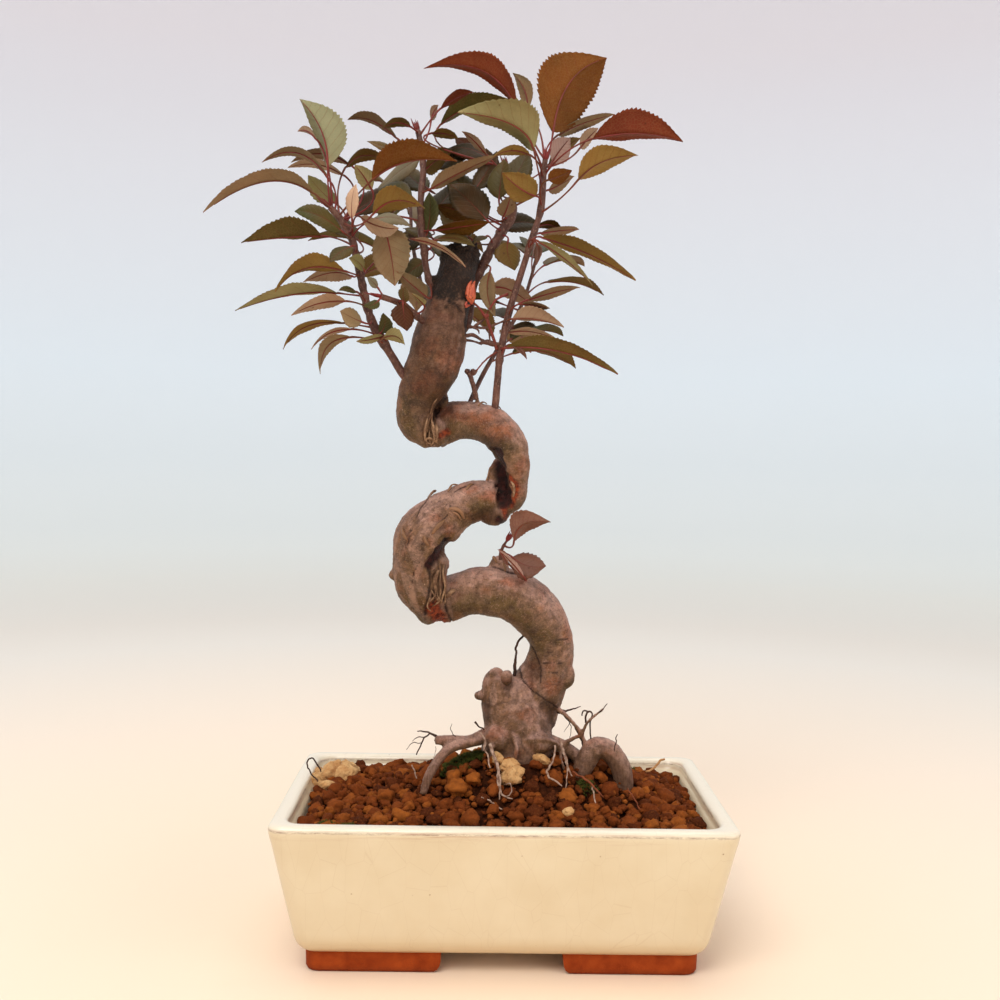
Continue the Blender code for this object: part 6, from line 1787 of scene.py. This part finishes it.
def make_grains(near, mats):
    rng = random.Random(11)
    big, small = Heap(3, 21, 0.5), Heap(2, 31, 0.45)
    taken = []

    def free(x, y, z, r, squeeze):
        hit = near.find_nearest(Vector((x, y, z)), r + 1.0)
        if hit[0] is not None and hit[3] < r * 0.75:
            return False
        for px, py, pr in taken:
            if (px - x) ** 2 + (py - y) ** 2 < ((pr + r) * squeeze) ** 2:
                return False
        return True

    # smooth orange grains left of the trunk
    for x, z, y, r in ((-25, 88, -12, 5.0), (-23, 80.5, -20, 5.4), (-15.5, 84.5, -16, 4.4)):
        p = seen(x, z, y)
        p.z = mound(p.x, p.y) + r * 0.35
        taken.append((p.x, p.y, r))
        big.put(p, r, 0.8, 1.0)
    for rad, tries in ((4.4, 260), (3.6, 600), (2.9, 1200)):
        for _ in range(tries // (1)):
            x, y = rng.uniform(-101, 101), rng.uniform(-60, 60)
            r = rad * rng.uniform(0.85, 1.15)
            z = mound(x, y) - r * 0.25 + rng.uniform(-0.6, 1.0)
            if inside_pot(x, y, r * 0.9) and free(x, y, z, r, 0.88):
                taken.append((x, y, r))
                big.put((x, y, z), r, 0.86)
    for rad, tries in ((2.2, 1500), (1.4, 900)):
        for _ in range(tries // (1)):
            x, y = rng.uniform(-102, 102), rng.uniform(-61, 61)
            r = rad * rng.uniform(0.7, 1.2)
            z = mound(x, y) - 1.6 + rng.uniform(-0.8, 1.2)
            hit = near.find_nearest(Vector((x, y, z)), r + 1.0)
            if inside_pot(x, y, r + 0.3) and (hit[0] is None or hit[3] > r * 0.7):
                small.put((x, y, z), r, 0.9)
    print("grains", len(big.points), len(small.points))
    big.piece("soil_grains", mats["clay_grain"], "soil", ("soil",))
    small.piece("soil_crumbs", mats["clay_grain"], "soil", ("soil",))

    # pumice: a cluster at the back left and two stones before the trunk
    stones = Heap(4, 41, 0.38)
    for x, z, y, r in ((-96, 81, 38, 4.6), (-88, 77, 28, 7.2), (-81, 75.5, 22, 5.6),
                       (-94, 75, 24, 6.2), (-80, 83, 44, 4.2), (-78, 78, 30, 4.4),
                       (-90, 72.5, 12, 4.6), (3, 87, -14, 4.6), (4.5, 81, -18, 5.6),
                       (-3, 90.5, -9, 3.6), (19.5, 89, -8, 4.2), (34, 63.5, -52, 2.6)):
        p = seen(x, z, y)
        p.z = max(p.z - r * 0.35, mound(p.x, p.y) + r * 0.15)
        stones.put(p, r * 1.05, 0.85)
    stones.piece("pumice_stones", mats["pumice"], "soil", ("soil",))


def grain_material():
    sh = Shader("clay_grains")
    t = sh.tree
    at = object_mm(t)
    own = attribute(t, "own")
    color = ramp(t, own, (0.0, rgb(72, 32, 14)), (0.35, rgb(112, 52, 20)),
                 (0.75, rgb(132, 66, 26)), (1.0, rgb(160, 88, 34)))
    patch = mottle(t, at, 0.35, 0.35, 0.7, 5.0)
    color = tinge(t, color, patch, 0.5, rgb(62, 28, 14))
    dust = mottle(t, at, 1.4, 0.5, 0.72, 3.0)
    color = tinge(t, color, dust, 0.25, rgb(172, 104, 52))
    grit = noise_value(t, at, 1.1, 8.0, 0.7)
    sh.set(Base_Color=color, Roughness=0.88, Specular_IOR_Level=0.06,
           Normal=bump(t, grit, 0.9, 0.0008))
    return sh.mat


def pumice_material():
    sh = Shader("tan_pumice")
    t = sh.tree
    at = object_mm(t)
    color = mix_color(t, mottle(t, at, 0.25, 0.3, 0.7, 5.0), rgb(176, 122, 72), rgb(214, 172, 118))
    pit = cell_dots(t, at, 0.9, 0.12, 0.3)[0]
    color = tinge(t, color, pit, 0.4, rgb(134, 84, 46))
    grit = noise_value(t, at, 0.9, 7.0)
    nrm = bump(t, grit, 0.8, 0.0009)
    sh.set(Base_Color=color, Roughness=0.9, Specular_IOR_Level=0.2,
           Normal=bump(t, math_node(t, "MULTIPLY", pit, -1.0), 0.6, 0.0006, nrm))
    return sh.mat


def bed_material():
    sh = Shader("packed_soil")
    t = sh.tree
    at = object_mm(t)
    color = mix_color(t, mottle(t, at, 0.3, 0.35, 0.7, 5.0), rgb(40, 18, 9), rgb(74, 36, 17))
    grit = noise_value(t, at, 0.8, 6.0)
    sh.set(Base_Color=color, Roughness=0.95, Specular_IOR_Level=0.05,
           Normal=bump(t, grit, 0.9, 0.001))
    return sh.mat


def screen_material():
    sh = Shader("black_screen")
    t = sh.tree
    at = object_mm(t)
    fine = noise_value(t, at, 1.5, 3.0)
    sh.set(Base_Color=mix_color(t, fine, rgb(26, 28, 26), rgb(44, 46, 42)), Roughness=0.55,
           Normal=bump(t, fine, 0.2, 0.0002))
    return sh.mat


# Hair roots, twigs and moss

# strands: colour kind, then (x, y, depth, radius) on the photograph's frame
STRANDS = (
    ("pale", (490, 744, -12, 0.9), (494, 756, -16, 0.8), (498, 768, -19, 0.8), (498, 780, -22, 0.7),
     (501, 792, -26, 0.5), (506, 797, -28, 0.45), (512, 800, -29, 0.3)),
    ("pale", (498, 765, -19, 0.5), (500, 780, -23, 0.5), (500, 791, -26, 0.4), (499, 802, -29, 0.3)),
    ("pale", (481, 732, -8, 0.45), (485, 740, -10, 0.4), (484, 748, -12, 0.4), (488, 756, -15, 0.4),
     (490, 768, -19, 0.3)),
    ("pale", (478, 733, -8, 0.3), (483, 735, -9, 0.3), (486, 743, -11, 0.3), (483, 751, -13, 0.2)),
    ("pale", (482, 797, -29, 0.3), (490, 801, -30, 0.4), (494, 808, -32, 0.4), (498, 816, -34, 0.4),
     (502, 820, -36, 0.3)),
    ("pale", (505, 784, -25, 0.25), (511, 784, -26, 0.3), (511, 793, -28, 0.3), (506, 797, -28, 0.3)),
    ("pale", (555, 745, -8, 0.5), (554, 758, -12, 0.5), (551, 764, -14, 0.5), (547, 772, -17, 0.6),
     (550, 778, -19, 0.5), (555, 781, -20, 0.5), (562, 786, -22, 0.3)),
    ("pale", (560, 738, -6, 0.5), (563, 750, -10, 0.7), (567, 762, -14, 0.6), (569, 770, -16, 0.5),
     (572, 776, -18, 0.3)),
    ("pale", (564, 756, -12, 0.3), (567, 768, -16, 0.3), (566, 786, -21, 0.3), (566, 797, -25, 0.2)),
    ("pale", (592, 786, -20, 0.4), (594, 796, -24, 0.4), (596, 806, -27, 0.3)),
    ("pale", (436, 746, -8, 0.15), (435, 752, -9, 0.15), (434, 758, -10, 0.15)),
    ("pale", (412, 765, -6, 0.35), (415, 772, -8, 0.4), (417, 779, -10, 0.25)),
    ("brown", (573, 772, -17, 0.5), (588, 781, -21, 0.6), (596, 789, -24, 0.5), (603, 797, -27, 0.3)),
    ("brown", (627, 788, -20, 0.3), (634, 798, -24, 0.4), (640, 810, -28, 0.3)),
    ("dark", (558, 711, 4, 1.0), (564, 714, 2, 0.8), (573, 724, 0, 0.6), (580, 736, -2, 0.6),
     (584, 748, -3, 0.5), (586, 756, -4, 0.4)),
    ("dark", (558, 710, 4, 0.9), (565, 711, 3, 0.6), (573, 709, 2, 0.4), (581, 706, 1, 0.2)),
    ("dark", (592, 716, -3, 0.5), (590, 726, -3, 0.4), (591, 738, -3, 0.4), (588, 748, -4, 0.4)),
    ("dark", (586, 723, -3, 0.5), (586, 715, -4, 0.5), (589, 711, -4, 0.5), (592, 714, -4, 0.4),
     (591, 720, -4, 0.3)),
    ("dark", (588, 711, -4, 0.4), (583, 711, -4, 0.4), (582, 716, -4, 0.3)),
    ("dark", (562, 714, 3, 0.25), (568, 721, 2, 0.2), (571, 728, 1, 0.2), (570, 739, 0, 0.12)),
    ("dark", (571, 722, 1, 0.15), (567, 727, 1, 0.15), (564, 732, 0, 0.1)),
    ("dark", (596, 714, -4, 0.4), (602, 710, -5, 0.3), (607, 704, -5, 0.2)),
    ("dark", (614, 752, -8, 0.2), (616, 741, -8, 0.3), (617, 734, -8, 0.2)),
    ("dark", (527, 632, 9, 0.6), (519, 640, 8, 0.6), (516, 648, 8, 0.6), (516, 657, 8, 0.6),
     (515, 666, 9, 0.9), (515, 676, 9, 0.9)),
    ("dark", (437, 737, -8, 0.8), (430, 733, -8, 0.5), (424, 732, -8, 0.4), (417, 731, -8, 0.25)),
    ("dark", (430, 733, -8, 0.4), (424, 738, -9, 0.4), (421, 745, -9, 0.35), (416, 755, -9, 0.3)),
    ("dark", (424, 737, -9, 0.25), (418, 737, -9, 0.25), (412, 742, -9, 0.12)),
    ("dark", (421, 743, -9, 0.2), (413, 743, -9, 0.2), (406, 749, -9, 0.1)),
    ("dark", (484, 730, -4, 0.4), (479, 726, -4, 0.4), (475, 722, -4, 0.6)),
    ("dark", (456, 737, -8, 0.2), (451, 731, -8, 0.2), (452, 724, -8, 0.12)),
    ("dark", (318, 781, 14, 0.4), (310, 772, 16, 0.4), (307, 762, 16, 0.4), (312, 758, 17, 0.4),
     (318, 766, 18, 0.4), (321, 772, 18, 0.3)),
    ("bark", (488, 695, 5, 2.0), (482, 695, 5, 1.3), (476, 696, 5, 0.3)),
    ("bark", (500, 674, 7, 1.4), (495, 671, 6, 0.4)),
    ("tan", (646, 772, 6, 0.5), (655, 767, 8, 0.6), (660, 761, 9, 0.6), (665, 759, 10, 0.5)),
)
# moss: middle (x, y) on the pot, half widths, number of tufts
MOSS = ((-22, 1, 12, 9, 420), (-84, -50, 6, 3, 90), (-74, -51, 5, 3, 50), (42, -16, 5, 5, 70),
        (70, 40, 7, 4, 60))


def make_strands(kinds):
    """Hair roots over the soil and thin twigs in the air round the stump."""
    for kind, mat in kinds.items():
        bits = Mesh()
        for row in STRANDS:
            if row[0] != kind:
                continue
            pts = [(at_spot(px, py, y), r) for px, py, y, r in row[1:]]
            full = []
            for p, r in smooth_path(pts, 5):
                sway = Vector((noise.noise(p * 0.5), noise.noise(p * 0.5 + Vector((7, 0, 0))),
                               noise.noise(p * 0.5 + Vector((0, 7, 0))))) * 0.55
                p = p + sway
                if kind == "pale":
                    p.z = max(p.z, mound(p.x, p.y) + 0.6)
                full.append((p, r))
            v, f = tube(full, 7)
            bits.add(v, f, 0, red=[0.3] * len(v))
        bits.piece(kind + "_strands", [mat], "bark")


def make_moss(mat):
    """Cushions of tiny leaves, lighter at their tips."""
    rng = random.Random(77)
    moss = Mesh()
    for mx, my, rx, ry, number in MOSS:
        for _ in range(number // (1)):
            a, d = rng.uniform(0, 2 * math.pi), math.sqrt(rng.random())
            x, y = mx + rx * d * math.cos(a), my + ry * d * math.sin(a)
            foot = Vector((x, y, mound(x, y) + 3.0 * (1 - d * d) - 0.8))
            for _ in range(6):
                out = Vector((rng.gauss(0, 0.7), rng.gauss(0, 0.7), rng.uniform(0.4, 1.2)))
                out.normalize()
                side = out.cross(Vector((rng.gauss(0, 1), rng.gauss(0, 1), 0.3))).normalized()
                ln, wide = rng.uniform(1.2, 2.6), 0.28
                moss.add([foot - side * wide, foot + side * wide, foot + out * ln,
                          foot + out.cross(side) * wide],
                         [(0, 1, 2), (1, 3, 2), (3, 0, 2), (0, 3, 1)], 0,
                         red=[0.0, 0.0, 1.0, 0.0])
    moss.piece("moss", [mat], "soil")


def plain_material(name, low, high, rough=0.7):
    sh = Shader(name)
    t = sh.tree
    at = object_mm(t)
    fine = noise_value(t, at, 1.3, 4.0)
    sh.set(Base_Color=mix_color(t, mottle(t, at, 0.5, 0.35, 0.65, 5.0), rgb(*low), rgb(*high)),
           Roughness=rough, Specular_IOR_Level=0.2, Normal=bump(t, fine, 0.5, 0.0004))
    return sh.mat


def moss_material():
    sh = Shader("moss_green")
    t = sh.tree
    at = object_mm(t)
    low = mix_color(t, mottle(t, at, 0.4, 0.35, 0.65), rgb(15, 17, 5), rgb(36, 38, 10))
    sh.set(Base_Color=mix_color(t, attribute(t, "red"), low, rgb(84, 86, 32)),
           Roughness=0.7, Specular_IOR_Level=0.1)
    return sh.mat


# All together

def main():
    make_camera()
    make_light()
    make_floor()
    make_pot(glaze_material(), clay_material())
    make_bed(bed_material())
    bark = bark_material()
    trunk = make_trunk(bark)
    surface = surface_of(trunk)
    make_strips(surface, torn_wood_material(), bark)
    make_grains(surface, {"clay_grain": grain_material(), "pumice": pumice_material()})
    make_strands({"pale": plain_material("pale_root", (120, 88, 70), (186, 156, 136)),
                  "brown": plain_material("brown_root", (104, 50, 26), (140, 74, 42)),
                  "dark": plain_material("dark_twig", (44, 28, 22), (78, 52, 40)),
                  "tan": plain_material("dry_twig", (160, 110, 66), (196, 148, 98)),
                  "bark": plain_material("bark_spike", (88, 60, 42), (128, 92, 74))})
    make_moss(moss_material())
    veins = vein_group()
    upper = leaf_material("leaf_upper", veins, False)
    under = leaf_material("leaf_under", veins, True)
    stalk, wood = stalk_material(), shoot_wood_material()
    make_dried(wood, stalk, husk_material())
    for name in SHOOTS:
        make_shoot(name, upper, under, stalk, wood)
    screen = screen_material()
    for name in ("drain_mesh_left", "drain_mesh_right"):
        ob = frame["nodes"][name]
        ob.data.materials.clear()
        ob.data.materials.append(screen)


main()
